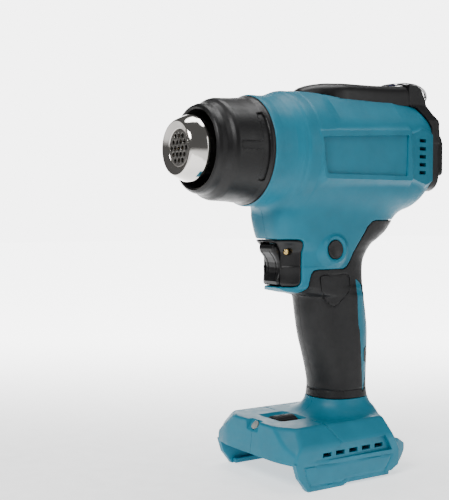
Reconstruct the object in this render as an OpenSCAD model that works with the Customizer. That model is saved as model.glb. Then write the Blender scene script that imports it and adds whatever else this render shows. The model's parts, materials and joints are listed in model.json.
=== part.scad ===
// Cordless heat gun with a slide-on battery foot, shown bare, without its battery.
// +X is the way the hot air leaves, +Z is up, and Y = 0 is the plane where the housing halves meet.
// The origin is on the ground under the middle of the tool. Lengths are in millimetres.

/* [Barrel] */
// Height of the barrel axis over the ground
axis_z = 182; // [176:1:188]
// Front end of the steel nozzle tube
muzzle_x = 89.4; // [88:0.1:91]
// Outer radius of the nozzle tube, where accessory nozzles push on
tube_r = 17.9; // [17.5:0.1:18.2]
// Radius of the perforated outlet plate
outlet_r = 9.9; // [9:0.1:10.5]
// Radius of the heat sleeve where it meets the housing
sleeve_r = 29.4; // [28.6:0.1:29.6]
// Where the heat sleeve meets the housing
sleeve_x = 46; // [45:0.5:47]
// Rear end of the housing halves
shell_rear_x = -73; // [-74:0.5:-72]
// Rear face of the air inlet cap
inlet_x = -89.4; // [-91:0.1:-88]

/* [Handle and trigger] */
// Thickness of the rubber grip
grip_t = 2.4; // [2:0.1:2.8]
// Pivot of the trigger along X
trigger_pin_x = 24.6; // [24:0.1:25.2]
// Pivot of the trigger along Z
trigger_pin_z = 126.7; // [126:0.1:127.5]
// Width of the trigger
trigger_w = 14; // [12:0.5:15]
// Centre of the lock button along X
lock_x = -2.6; // [-5:0.1:0]
// Centre of the lock button along Z
lock_z = 127.6; // [126:0.1:129]
// Radius of the lock button
lock_r = 5.2; // [4.8:0.1:6.5]

/* [Foot] */
// Width over the battery rails
foot_w = 76; // [75:0.5:77]
// Thickness of each rail's wall
rail_t = 3.4; // [3:0.1:4]
// Height of the roof of the battery channel
channel_z = 14.5; // [13:0.5:15]
// Radius of the temperature dial
dial_r = 8.3; // [7.5:0.1:8.5]
// Length of the temperature dial
dial_l = 14.6; // [12:0.1:15]

/* [Top cap] */
// Height of the flat joint between the top cap and the housing
cap_joint_z = 211; // [210.8:0.1:211.5]
// Height of the top cap's highest line
cap_top_z = 223.8; // [223:0.1:225]
// Half width of the top cap
cap_half_w = 17.6; // [17:0.1:18]
// Radius of the hanging ring's wire
ring_wire_r = 0.9; // [0.8:0.05:1]

/* [Hidden] */
$fn = 48;

gap = 0.15;            // assembly gap between neighbouring pieces
running = 0.05;        // radial clearance of everything that turns or slides
key_gap = 0.35;        // side gap of keys and of the trigger
teal = [0.10, 0.42, 0.52];
black = [0.09, 0.09, 0.10];
steel = [0.80, 0.80, 0.80];
brass = [0.80, 0.62, 0.28];
mica = [0.72, 0.66, 0.52];
green = [0.10, 0.35, 0.20];

ring_points = 15;      // points of one half section, from one end of it to the other

// ---- Lofts: half solids on the +Y side, swept through half superellipse sections ----

function spow(v, e) = sign(v) * pow(abs(v), e);

// Catmull-Rom blend of whole section rows, so that a few key sections give a smooth shape
function blend(a, b, c, d, u) =
    0.5 * (2 * b + (c - a) * u + (2 * a - 5 * b + 4 * c - d) * u * u
           + (3 * b - a - 3 * c + d) * u * u * u);
function smooth(s, steps) = [
    for (i = [0 : len(s) - 2]) for (k = [0 : steps - 1])
        let (a = s[max(i - 1, 0)], d = s[min(i + 2, len(s) - 1)])
            k == 0 ? s[i] : blend(a, s[i], s[i + 1], d, k / steps),
    s[len(s) - 1]
];

// One section: [station, low end, high end, half width, roundness at the low end, at the high end].
// A roundness of 2 is an ellipse, and more is squarer. Its points run from the high to the low end.
function half_ring(s) = [
    for (i = [0 : ring_points - 1])
        let (t = 180 * i / (ring_points - 1), e = 2 / (t < 90 ? s[5] : s[4]))
            [(s[1] + s[2]) / 2 + (s[2] - s[1]) / 2 * spow(cos(t), e),
             i == 0 || i == ring_points - 1 ? 0 : s[3] * spow(sin(t), e)]
];

module tube(points, rings, n) {
    sides = [
        for (j = [0 : rings - 2]) for (i = [0 : n - 1])
            let (a = j * n + i, b = j * n + (i + 1) % n)
                each [[a, a + n, b + n], [a, b + n, b]]
    ];
    low = [[for (i = [0 : n - 1]) i]];
    high = [[for (i = [n - 1 : -1 : 0]) (rings - 1) * n + i]];
    polyhedron(points, concat(low, sides, high));
}

module skin(points, rings) {
    tube(points, rings, ring_points);
}

// Sections stacked along Z, each running from the rear to the front
module loft_z(s) {
    skin([for (r = s) each [for (p = half_ring(r)) [p[0], p[1], r[0]]]], len(s));
}

// Sections stacked along X, each running from the bottom to the top
module loft_x(s) {
    skin([for (r = s) each [for (p = half_ring([r[0], r[2], r[1], r[3], r[5], r[4]]))
                            [r[0], p[1], p[0]]]], len(s));
}

module both_sides() {
    children();
    mirror([0, 1, 0]) children();
}

// ---- Placement helpers ----

// A solid of revolution about the barrel axis, from an outline of [radius, x] points
module turned(outline) {
    translate([0, 0, axis_z]) rotate([0, 90, 0]) rotate_extrude($fn = 96) polygon(outline);
}

// A straight cylinder along X from x0 to x1
module bar_x(x0, x1, r, y = 0, z = axis_z) {
    translate([x0, y, z]) rotate([0, 90, 0]) cylinder(h = x1 - x0, r = r);
}

// A straight cylinder along Y from y0 to y1
module bar_y(y0, y1, r, x, z) {
    translate([x, y1, z]) rotate([90, 0, 0]) cylinder(h = y1 - y0, r = r);
}

// A box given by its two corners
module block(low, high) {
    translate(low) cube(high - low);
}

// A side outline of [x, z] points, from y0 to y1
module side_prism(outline, y0, y1) {
    translate([0, y1, 0]) rotate([90, 0, 0]) linear_extrude(y1 - y0) polygon(outline);
}

module rounded_outline(low, high, r) {
    translate(low + [r, 0]) square([high[0] - low[0] - 2 * r, high[1] - low[1]]);
    translate(low + [0, r]) square([high[0] - low[0], high[1] - low[1] - 2 * r]);
    for (x = [low[0] + r, high[0] - r], y = [low[1] + r, high[1] - r]) translate([x, y]) circle(r);
}

// A plate square to X with round corners; low and high are [y, z]
module rounded_plate(low, high, r, x0, x1) {
    translate([x0, 0, 0]) rotate([90, 0, 90]) linear_extrude(x1 - x0) rounded_outline(low, high, r);
}

// ---- Key sections of the outer shape ----

// Barrel body: [x, bottom, top, half width, roundness below, roundness above]
head_keys = [
    [shell_rear_x, 157, 199, 25, 3, 2.6], [-69, 152.8, 203.5, 26.8, 3, 2.6],
    [-62, 149.4, 209, 28.9, 2.9, 2.6], [-52, 147.8, 213.2, 30.8, 2.8, 2.6],
    [-38, 147.4, 216, 32.6, 2.5, 2.5], [-18, 147.6, 216.4, 33.4, 2.4, 2.4],
    [2, 147.6, 216.4, 33.8, 2.2, 2.2], [18, 147.8, 216.2, 34, 2, 2]
];

// Handle and the housing over it: [z, rear, front, half width, roundness behind, roundness ahead]
column_keys = [
    [28, -39, 2.4, 17.9, 2.3, 2.3], [39, -37.6, -2.2, 17.2, 2.3, 2.3],
    [48, -36.7, -2.9, 16.2, 2.3, 2.3], [57, -37.2, -1.2, 16, 2.3, 2.3],
    [66, -37.9, 1.4, 16, 2.3, 2.3], [78, -38.3, 5, 16.2, 2.3, 2.3], [90, -37, 7.1, 16.5, 2.3, 2.3],
    [97, -35.6, 7.9, 16.9, 2.3, 2.3], [100.5, -35.3, 8.4, 17, 2.3, 2.4],
    [102.2, -35.2, 13.3, 17, 2.3, 3], [103.4, -35.2, 16, 17, 2.3, 3.6],
    [105, -35.2, 17.7, 17, 2.3, 3.8], [107, -35.2, 25.3, 17, 2.3, 3.4],
    [110, -35.1, 27.9, 17, 2.3, 2.8], [114.5, -34.9, 28, 17.1, 2.3, 2.6],
    [118, -35, 28.1, 17.3, 2.3, 2.6], [121, -35.6, 28.2, 17.4, 2.3, 2.6],
    [126, -38.3, 28.4, 17.8, 2.3, 2.6], [130, -41.4, 29.4, 18.4, 2.4, 3.4],
    [133, -46.5, 30.4, 18.7, 2.4, 4.6], [138, -53.2, 32, 19.4, 2.4, 4.6],
    [144, -57.3, 33.2, 20.4, 2.5, 4.6], [152, -60, 34, 22.5, 2.6, 3.6], [166, -52, 34, 27, 2.6, 3]
];

// Top of the foot
foot_keys = [
    [28.5, -38, 39.6, 36.8, 5, 5], [30.8, -38.2, 38.8, 34.5, 5, 5], [32.4, -38.4, 34, 29, 4, 4],
    [33.4, -38.6, 22, 22.5, 3, 3], [35.2, -38.8, 7, 18.4, 2.5, 2.5], [40.5, -38.6, 0, 16.9, 2.3, 2.3]
];

// Side outline of the rubber grip: [x, z]
grip_outline = [
    [50, 41.5], [-60, 41.5], [-60, 112], [-80, 118], [-80, 144.1], [-33, 143.8], [-29, 142.2],
    [-26.5, 139], [-15.5, 120.5], [-13.8, 118], [-10, 116.2], [11, 116.2], [13.3, 115], [14.6, 112],
    [16.4, 107.6], [19, 105], [24, 103.9], [50, 103.9]
];

// Side outline of the trigger bezel: [x, z]
bezel_x = 17.6;
bezel_z0 = 106.9;
bezel_z1 = 133.2;
bezel_outline = [
    [bezel_x, 110.4], [bezel_x + 3.4, bezel_z0], [60, bezel_z0], [60, bezel_z1],
    [bezel_x + 4, bezel_z1], [bezel_x, 129.4]
];

function inset(keys, t) = [for (s = keys) [s[0], s[1] + t, s[2] - t, s[3] - t, s[4], s[5]]];

module outer_half() {
    loft_x(smooth(head_keys, 2));
    loft_z(column_keys);
}

module grip_zone() {
    side_prism(grip_outline, -0.01, 40);
}

// The part of the handle inside the rubber
module handle_core() {
    loft_z(inset(column_keys, grip_t));
}

// ---- Foot with its battery rails, +Y half ----

deck_z = 30.6;         // edge between the foot's sides and its top
dial_x = 19.2;         // middle of the temperature dial
dial_z = 25.2;         // height of the dial's axle
lamp = [38.6, 0, 30.4];
lamp_tilt = 52;        // lean of the lamp's axis, forward from straight up

module foot_half() {
    hw = foot_w / 2;
    loft_z(foot_keys);
    // deck over the battery channel
    difference() {
        side_prism([[42, channel_z], [39.6, deck_z], [-38, deck_z], [-44.5, 16], [-40, 7],
                    [-36, channel_z]], 0, hw);
        translate([0, 0, 10]) linear_extrude(30) polygon([[31, hw + 1], [46, hw + 1], [46, 24]]);
        translate([0, 0, 4]) linear_extrude(30) polygon([[-34, hw + 1], [-50, hw + 1], [-50, 25]]);
    }
    // rail wall, and the lip that runs in the battery's groove
    side_prism([[30.4, 0], [36.6, channel_z + 1], [-30, channel_z + 1], [-34, 4], [-28, 0]],
               hw - rail_t, hw);
    side_prism([[29, 0.4], [30.4, 3.2], [-30, 3.2], [-28, 0.4]], hw - rail_t - 3, hw - rail_t + 0.5);
    // end stop of the channel
    side_prism([[-30, 3.6], [-30, channel_z + 1], [-37, channel_z + 1], [-36, 5]], 0, hw - 4);
}

board_room_x = [-30, 31];
board_room_y = 31;
board_room_z = [16.6, 28.4];
terminal_x = [-29.8, 12];
terminal_half_w = 13;

module lamp_bar(from, to, r) {
    translate(lamp) rotate([0, lamp_tilt, 0]) translate([0, 0, from]) cylinder(h = to - from, r = r);
}

module foot_hollows() {
    // room for the boards under the deck
    block([board_room_x[0], -1, board_room_z[0]], [board_room_x[1], board_room_y, board_room_z[1]]);
    // opening for the terminal block
    block([terminal_x[0] - 0.1, -1, 13], [terminal_x[1] + 0.1, terminal_half_w + 0.1, 17]);
    // cooling slots in the side
    for (i = [0 : 4]) block([-24.1 + 9.6 * i, 28, 17.4], [-17.8 + 9.6 * i, 40, 19.6]);
    // dial window
    block([dial_x - dial_l / 2 - 0.6, -1, 25], [dial_x + dial_l / 2 + 0.6, 8.9, 40]);
    lamp_bar(-12, 10, 2.6);
}

// ---- Housing halves ----

screw_spots = [[25, 143], [-42, 146], [-20, 112], [-34, 24], [35.3, 22]];

module housing_half() {
    difference() {
        union() {
            difference() {
                outer_half();
                difference() {
                    grip_zone();
                    handle_core();
                }
            }
            // stepped nose ring
            intersection() {
                turned([[24, sleeve_x], [24, 16], [34.1, 16], [34.1, 20], [33.4, 24.6], [32.3, 28.5],
                        [31, 32], [30.6, 40], [30, sleeve_x]]);
                block([0, 0, 100], [60, 60, 260]);
            }
            foot_half();
        }
        // air passage: fan chamber, then the taper to the rear opening
        bar_x(-50, 36, 28);
        turned([[0, -49.9], [28, -49.9], [20.5, -74], [0, -74]]);
        bar_x(36, 60, 26.1);
        // flat seat under the top cap, and the slot for the display leads
        block([-60.2, -1, cap_joint_z], [14, cap_half_w + gap, 240]);
        block([-24, -1, 200], [-12, 6, 240]);
        // handle cavity, down into the foot
        side_prism([[-30, 20], [-30, 60], [-27, 100], [-26, 160], [18, 160], [18, 134], [14, 106], [5, 104],
                    [3.2, 100], [-8.5, 60], [-10, 20]], -1, 9.2);
        // seat of the trigger bezel, and the way through to the switch
        side_prism(bezel_outline, -1, 40);
        block([3, -1, 108], [18, 8.2, 132]);
        foot_hollows();
        // side recess and the rear slots
        side_prism([[18, 189], [-46, 192], [-45, 169], [14, 169.4]], 32.3, 40);
        for (i = [0 : 4]) block([-66, 18, 170.4 + 4.65 * i], [-58, 32, 172.4 + 4.65 * i]);
        // holes for the cover's screws, and room behind the joint for the cover
        bar_x(-80, -68, 1.3, 18, 168);
        block([-90, -1, 203.9], [shell_rear_x - 0.2, 30, 230]);
        children();
    }
}

module left_housing() {
    color(teal) housing_half() {
        // lock button bore, its raised ring's inner step and the screw cores
        bar_y(8, 30, lock_r + running + 0.1, lock_x, lock_z);
        for (p = screw_spots) bar_y(-1, 9.6, 1.5, p[0], p[1]);
    }
}

module right_housing() {
    color(teal) mirror([0, 1, 0]) housing_half() {
        for (p = screw_spots) {
            bar_y(-1, 12, 1.5, p[0], p[1]);
            bar_y(11, 60, 3.1, p[0], p[1]);
        }
    }
}

module grip_half() {
    difference() {
        intersection() {
            loft_z(column_keys);
            grip_zone();
        }
        handle_core();
    }
}

module left_grip() {
    color(black) grip_half();
}

module right_grip() {
    color(black) mirror([0, 1, 0]) difference() {
        grip_half();
        // the handle's screw goes in through the rubber
        bar_y(10, 60, 3.1, screw_spots[2][0], screw_spots[2][1]);
    }
}

// ---- Top cap, rear cover and air inlet ----

// Cap: [x, bottom, top, half width, roundness below, roundness above]
cap_keys = [
    [-60, 199, cap_top_z, cap_half_w, 5, 5], [-50, 199, 223, cap_half_w, 5, 5],
    [-34, 199, 222.4, cap_half_w, 5, 5], [-14, 199, 222.2, 17, 5, 4.5], [-6, 199, 221.9, 15.6, 5, 4],
    [0, 200, 221.2, 13.2, 4.5, 3.4], [5, 202, 219.9, 10.4, 4, 3], [9.5, 205, 217.6, 7, 3, 2.6],
    [12, 207, 215, 3.6, 2.4, 2.4]
];
window_x = [-50, -22];
window_half_w = 10;
key_x = -11;
key_y = 6.5;
key_half = 4;          // half length of a key's square top
key_travel = 0.8;

module top_cap() {
    color(black) difference() {
        both_sides() loft_x(cap_keys);
        block([-80, -40, 150], [40, 40, cap_joint_z + 0.1]);
        // hollow for the display
        block([-57.5, -14, 200], [-6, 14, 220]);
        block([-6.1, -11, 200], [-1, 11, 217]);
        // openings for the window and the keys
        block([window_x[0] - 0.1, -window_half_w - 0.1, 215],
              [window_x[1] + 0.1, window_half_w + 0.1, 240]);
        for (s = [-1, 1]) block([key_x - key_half - key_gap, s * key_y - key_half - key_gap, 215],
                                [key_x + key_half + key_gap, s * key_y + key_half + key_gap, 240]);
    }
}

ring_pivot = [-77, 212];
plate_x = [-73.15, -78.6];
plate_half_w = 23.5;
plate_z = [161, 203];

module rear_cover() {
    slope = [
        [-60.2, cap_joint_z + 0.2], [-60.2, cap_top_z], [-66, 223.3], [-70.4, 221.3], [-73.5, 214],
        [-76, 207], [-78.6, 203], [-78.6, 198], [plate_x[0], 198], [plate_x[0], 200.4], [-69, 204.9]
    ];
    color(black) difference() {
        union() {
            side_prism(slope, -cap_half_w, cap_half_w);
            rounded_plate([-plate_half_w, plate_z[0]], [plate_half_w, plate_z[1]], 9,
                          plate_x[1], plate_x[0]);
            // lug between the ends of the hanging ring
            bar_y(-3.8, 3.8, 2.3, ring_pivot[0], ring_pivot[1]);
            side_prism([[-72, 209], [-77, 209.75], [-77, 214.25], [-72, 214.4]], -3.8, 3.8);
        }
        // air way, and the bore for the ends of the ring
        bar_x(-80, -72, 13);
        bar_y(-5, 5, ring_wire_r + running, ring_pivot[0], ring_pivot[1]);
        for (s = [-1, 1]) bar_x(-80, -70, 1.3, s * 18, 168);
    }
}

cap_half = [18, 13.3]; // half width and half height of the air inlet cap

module inlet_cap() {
    color(black) difference() {
        rounded_plate([-cap_half[0], axis_z + 1.2 - cap_half[1]],
                      [cap_half[0], axis_z + 1.2 + cap_half[1]], 6, inlet_x, plate_x[1]);
        rounded_plate([-cap_half[0] + 2, axis_z + 3.2 - cap_half[1]],
                      [cap_half[0] - 2, axis_z - 0.8 + cap_half[1]], 4.5, inlet_x + 2.2, plate_x[1] + 1);
        for (i = [-2 : 2]) block([inlet_x - 1, -12, axis_z + 0.2 + 4.2 * i],
                                 [inlet_x + 3, 12, axis_z + 2.2 + 4.2 * i]);
    }
}

// Round filter frame with crossing bars
module inlet_filter() {
    color("dimgray") difference() {
        bar_x(-78.4, -76.6, 12.9);
        for (i = [-4 : 4], k = [-4 : 4])
            if (norm([i, k]) < 4.4)
                block([-79, 2.6 * i - 1, axis_z + 2.6 * k - 1], [-76, 2.6 * i + 1, axis_z + 2.6 * k + 1]);
    }
}

// Two legs and a cross wire, bent over the rear edge of the cap
ring_half_w = 5;
ring_path = [
    ring_pivot, [-79.2, 213.6], [-80.8, 215.6], [-81.7, 218.4], [-81.3, 220.8], [-79.8, 222.9],
    [-77.4, 224.3], [-74.6, 225.1], [-71, 225.5], [-66, 225.7], [-62.4, 225.6]
];
ring_sides = 10;

// Frame of the wire where it passes the point b on its way from a to c
function wire_section(a, b, c) =
    let (t = (c - a) / norm(c - a), flat = cross(t, [0, 1, 0]),
         u = norm(flat) > 0.3 ? flat / norm(flat) : cross(t, [0, 0, 1]) / norm(cross(t, [0, 0, 1])),
         v = cross(t, u), r = ring_wire_r - 0.03)
        [for (k = [0 : ring_sides - 1]) b + r * (u * cos(36 * k) + v * sin(36 * k))];

module hanging_ring() {
    last = len(ring_path) - 1;
    corner = 1.2;      // bend radius of the two corners of the cross wire
    tip = ring_path[last];
    path = concat(
        [for (p = ring_path) [p[0], ring_half_w, p[1]]],
        [[tip[0] + 0.9 * corner, ring_half_w - 0.3 * corner, tip[1]],
         [tip[0] + 1.2 * corner, ring_half_w - corner, tip[1]],
         [tip[0] + 1.2 * corner, corner - ring_half_w, tip[1]],
         [tip[0] + 0.9 * corner, 0.3 * corner - ring_half_w, tip[1]]],
        [for (i = [last : -1 : 0]) [ring_path[i][0], -ring_half_w, ring_path[i][1]]]
    );
    n = len(path);
    points = [for (i = [0 : n - 1])
        each wire_section(path[max(i - 1, 0)], path[i], path[min(i + 1, n - 1)])];
    color(steel) {
        tube(points, n, ring_sides);
        // the two ends turn in the bore of the rear cover's lug
        for (s = [-1, 1]) bar_y(s > 0 ? 1.2 : -ring_half_w - 0.8, s > 0 ? ring_half_w + 0.8 : -1.2,
                                ring_wire_r, ring_pivot[0], ring_pivot[1]);
    }
}

// ---- Nozzle and heater ----

module heat_sleeve() {
    color(black) turned([
        [26, 40], [26, 46.2], [sleeve_r, 46.2], [28.7, 50], [27.9, 57], [27.5, 67], [26.8, 68.8],
        [24.2, 73], [23.9, 76.4], [23.2, 77.6], [22, 78.1], [21, 77.4], [20.8, 74], [20.8, 65.2],
        [17.7, 65.2], [17.7, 62.2], [22.4, 62.2], [22.4, 40]
    ]);
}

module sleeve_gasket() {
    color(black) turned([[26.05, sleeve_x + 0.02], [29.8, sleeve_x + 0.02], [29.8, sleeve_x + 0.18],
                         [26.05, sleeve_x + 0.18]]);
}

module nozzle_tube() {
    color(steel) turned([
        [16.9, 15], [17.5, 15], [17.5, 65.4], [tube_r, 65.4], [tube_r, 81], [17.6, 82.6], [16.9, 84.6],
        [15.6, 87.6], [14.6, 89], [14.2, muzzle_x], [13.7, 89.3], [12.6, 88.6], [11, 87.9],
        [outlet_r + 0.05, 87.5], [outlet_r + 0.05, 85.6], [14.4, 83.9], [16.4, 80.8], [16.9, 78]
    ]);
}

module outlet_plate() {
    pitch = 3.7;
    color(steel) difference() {
        bar_x(85.8, 87.4, outlet_r);
        bar_x(85, 88, 1.25);
        for (i = [0 : 5]) for (k = [0 : 1]) {
            a = 60 * i;
            reach = [pitch, 2 * pitch];
            bar_x(85, 88, 1.25, reach[k] * cos(a), axis_z + reach[k] * sin(a));
        }
        for (i = [0 : 5])
            bar_x(85, 88, 1.25, pitch * sqrt(3) * cos(60 * i + 30),
                  axis_z + pitch * sqrt(3) * sin(60 * i + 30));
    }
}

module mica_liner() {
    color(mica) turned([[16.1, 24.2], [16.8, 24.2], [16.8, 77], [16.1, 77]]);
}

module mica_former() {
    color(mica) union() {
        block([24, -12.2, axis_z - 0.4], [80, 12.2, axis_z + 0.4]);
        block([24, -0.4, axis_z - 12.2], [80, 0.4, axis_z + 12.2]);
    }
}

// Turns of resistance wire round the former
module heating_coils() {
    color("silver") for (i = [0 : 12])
        translate([29 + 4 * i, 0, axis_z]) rotate([0, 90, 0])
            rotate_extrude() translate([13, 0]) circle(r = 0.7, $fn = 16);
}

module heater_base() {
    color("ivory") difference() {
        bar_x(20, 23.9, 16.8);
        for (i = [0 : 5]) bar_x(19, 25, 3.4, 10.2 * cos(60 * i), axis_z + 10.2 * sin(60 * i));
        bar_x(19, 25, 0.85, 4.2, axis_z + 4.2);
    }
}

module thermocouple() {
    color(brass) {
        bar_x(18, 82, 0.8, 4.2, axis_z + 4.2);
        translate([82, 4.2, axis_z + 4.2]) sphere(r = 1.3, $fn = 24);
    }
}

// ---- Fan and motor ----

module air_duct() {
    color("dimgray") turned([
        [27, -29], [27.9, -29], [27.9, -10], [26.8, -5], [20.2, 12], [19, 15], [19, 24], [17.6, 24],
        [17.6, 15], [18.6, 12], [25.6, -6], [26.7, -10]
    ] );
}

fan_blades = 9;

module fan_impeller() {
    color("dimgray") difference() {
        union() {
            bar_x(-26, -14, 8.5);
            for (i = [0 : fan_blades - 1])
                translate([-20, 0, axis_z]) rotate([360 / fan_blades * i, 0, 0])
                    translate([0, 0, 7.5]) rotate([0, 0, 35]) translate([-0.6, -6, 0]) cube([1.2, 12, 17.6]);
        }
        bar_x(-27, -13, 1.15);
    }
}

module motor_shaft() {
    color(steel) bar_x(-33, -14, 1.15);
}

module motor_can() {
    color("silver") difference() {
        union() {
            bar_x(-62, -31, 13.9);
            bar_x(-31.1, -28.6, 3.2);
        }
        bar_x(-33.2, -28, 1.15 + running);
    }
}

module motor_holder() {
    color("dimgray") difference() {
        union() {
            bar_x(-48, -40, 16.2);
            for (i = [0 : 3]) translate([0, 0, axis_z]) rotate([45 + 90 * i, 0, 0])
                block([-48, -1.5, 15], [-40, 1.5, 27.8]);
        }
        bar_x(-49, -39, 13.95);
    }
}

// ---- Display and keys ----

board_z = cap_joint_z + 1.2;

module display_board() {
    color(green) block([-56, -13, board_z], [-6.4, 13, board_z + 1.6]);
}

module display_module() {
    color("lightgray") block([-52, -12, board_z + 1.65], [-20, 12, 218.6]);
}

module display_window() {
    color([0.3, 0.35, 0.9]) block([window_x[0], -window_half_w, 218.7],
                                  [window_x[1], window_half_w, 221.9]);
}

module set_key(side) {
    k = key_half;
    color("dimgray") {
        block([key_x - k, side * key_y - k, 217.6], [key_x + k, side * key_y + k, 221.6]);
        block([key_x - 1.5, side * key_y - 1.5, board_z + 1.6 + key_travel + 0.3],
              [key_x + 1.5, side * key_y + 1.5, 217.7]);
    }
}

module up_key() {
    set_key(-1);
}

module down_key() {
    set_key(1);
}

// ---- Trigger and its parts ----

trigger_outline = [
    [31.2, 130.4], [31.6, 128.4], [31, 126.2], [28.6, 123.4], [27.2, 120.6], [26.7, 117.6],
    [27, 114.6], [27.9, 112], [28.4, 110], [27.6, 108.3], [25.6, 107.7], [24, 107.9], [22.2, 109.6],
    [20.8, 112.6], [20, 118], [20, 129.4], [21, 130.4]
];

module trigger() {
    color(black) difference() {
        side_prism(trigger_outline, -trigger_w / 2, trigger_w / 2);
        bar_y(-20, 20, 1.6 + running, trigger_pin_x, trigger_pin_z);
        // pocket for the spring
        bar_x(19, 23, 2.6, 0, 113);
    }
}

module trigger_bezel() {
    color(black) difference() {
        intersection() {
            both_sides() loft_z(column_keys);
            side_prism([for (p = bezel_outline) [p[0] + (p[0] < 50 ? gap : 0),
                        p[1] > 120 ? p[1] - gap : p[1] + gap]], -40, 40);
        }
        block([10, -trigger_w / 2 - key_gap, 100], [60, trigger_w / 2 + key_gap, 131.6]);
        bar_y(-40, 40, 1.6, trigger_pin_x, trigger_pin_z);
    }
}

module trigger_pin() {
    color(brass) bar_y(-10.3, 10.3, 1.6, trigger_pin_x, trigger_pin_z);
}

module coil_spring_x(x0, x1, r, wire, z, turns) {
    step = (x1 - x0 - 2 * wire) / (turns - 1);
    for (i = [0 : turns - 1]) translate([x0 + wire + step * i, 0, z]) rotate([0, 90, 0])
        rotate_extrude($fn = 24) translate([r, 0]) circle(r = wire, $fn = 12);
}

module trigger_spring() {
    color(steel) coil_spring_x(13.1, 22.9, 1.9, 0.35, 113, 6);
}

module trigger_switch() {
    color("dimgray") block([-9, -7.6, 106], [13, 7.6, 121.8]);
}

// ---- Lock button ----

lock_travel = 3;
lock_out_y = 20.6;

module lock_button() {
    color(black) difference() {
        union() {
            bar_y(15.4, lock_out_y, lock_r, lock_x, lock_z);
            bar_y(12.4, 15.5, 3, lock_x, lock_z);
        }
        bar_y(12, 14.6, 2, lock_x, lock_z);
    }
}

module lock_spring() {
    color(steel) for (i = [0 : 4]) translate([lock_x, 8.8 + 1.3 * i, lock_z]) rotate([90, 0, 0])
        rotate_extrude($fn = 24) translate([1.5, 0]) circle(r = 0.3, $fn = 12);
}

module lock_switch() {
    color("dimgray") block([lock_x - 5, 3, lock_z + 0.2 - 5], [lock_x + 5, 8.4, lock_z + 5]);
}

// ---- Foot electronics and dial ----

module control_board() {
    color(green) block([-28, -29, 19.8], [9.8, 29, 21.4]);
}

module heat_sink() {
    color("silver") {
        block([-26, 14, 21.5], [6, 28, 23]);
        for (i = [0 : 5]) block([-26, 14.4 + 2.6 * i, 22.9], [6, 15.4 + 2.6 * i, 27.8]);
    }
}

module power_leads() {
    for (k = [0 : 2]) color(["firebrick", "black", "gold"][k])
        translate([-22 + 3.4 * k, -4, 21.5]) cylinder(h = 86, r = 1.3);
}

module terminal_block() {
    color("dimgray") difference() {
        union() {
            block([terminal_x[0], -terminal_half_w, 14.6], [terminal_x[1], terminal_half_w, 16.6]);
            block([-29.4, -11, 9.8], [-17, 11, 19.7]);
        }
        for (s = [-1, 1]) block([-30, s * 6 - 0.45, 12.6], [-12, s * 6 + 0.45, 19.8]);
    }
}

module terminal_blades() {
    color(brass) for (s = [-1, 1]) block([-22, s * 6 - 0.4, 12.7], [-3, s * 6 + 0.4, 14.5]);
}

module foot_lamp_lens() {
    color("white") {
        lamp_bar(-1.8, 0.2, 2.5);
        translate(lamp) rotate([0, lamp_tilt, 0]) intersection() {
            sphere(r = 2.5);
            cylinder(h = 5, r = 5);
        }
    }
}

module foot_lamp_board() {
    color(green) lamp_bar(-3.2, -1.9, 2.5);
}

ribs = 30;

module dial_wheel() {
    color("saddlebrown") difference() {
        bar_x(dial_x - dial_l / 2, dial_x + dial_l / 2, dial_r, 0, dial_z);
        bar_x(dial_x - dial_l, dial_x + dial_l, 1.5 + running, 0, dial_z);
        for (i = [0 : ribs - 1]) {
            a = 360 / ribs * i;
            bar_x(dial_x - dial_l, dial_x + dial_l, 0.45, (dial_r + 0.1) * cos(a),
                  dial_z + (dial_r + 0.1) * sin(a));
        }
    }
}

module dial_axle() {
    color(steel) bar_x(10.1, 28.3, 1.5, 0, dial_z);
}

module dial_carrier() {
    color("dimgray") for (x = [10.1, dial_x + dial_l / 2 + 0.3]) difference() {
        block([x, -3.4, 16.7], [x + 1.5, 3.4, 28.2]);
        bar_x(x - 1, x + 3, 1.5, 0, dial_z);
    }
}

// ---- Fasteners ----

module screw_along_y(x, z, seat, tip, r, head_r) {
    color(steel) difference() {
        union() {
            bar_y(seat, tip, r, x, z);
            bar_y(seat - 2.2, seat, head_r, x, z);
        }
        translate([x, seat - 2.3, z]) rotate([-90, 0, 0]) cylinder(h = 1.3, r = 1.3, $fn = 6);
    }
}

module housing_screws() {
    for (p = screw_spots) screw_along_y(p[0], p[1], -11, 8.6, 1.45, 2.9);
}

module cover_screws() {
    color(steel) for (s = [-1, 1]) {
        bar_x(-78.5, -70.2, 1.25, s * 18, 168);
        bar_x(-80.2, -78.65, 2.4, s * 18, 168);
    }
}

left_housing();
right_housing();
left_grip();
right_grip();
top_cap();
rear_cover();
inlet_cap();
inlet_filter();
heat_sleeve();
sleeve_gasket();
nozzle_tube();
outlet_plate();
mica_liner();
mica_former();
heating_coils();
heater_base();
thermocouple();
air_duct();
fan_impeller();
motor_shaft();
motor_can();
motor_holder();
display_board();
display_module();
display_window();
up_key();
down_key();
trigger();
trigger_bezel();
trigger_pin();
trigger_spring();
trigger_switch();
lock_button();
lock_spring();
lock_switch();
control_board();
heat_sink();
power_leads();
terminal_block();
terminal_blades();
foot_lamp_lens();
foot_lamp_board();
dial_wheel();
dial_axle();
dial_carrier();
hanging_ring();
housing_screws();
cover_screws();
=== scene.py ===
"""Looks of the cordless heat gun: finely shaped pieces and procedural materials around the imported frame.

Shapes are written in millimetres as signed distance fields (negative inside), turned into meshes by
dual contouring, and placed in metres. +X is the way the air leaves, +Z is up, and Y = 0 is the plane
where the housing halves meet. Names that end in _fn take point arrays x, y, z and return a distance.
"""

import json
import math

import bpy
import numpy as np
from mathutils import Matrix, Vector


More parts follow.
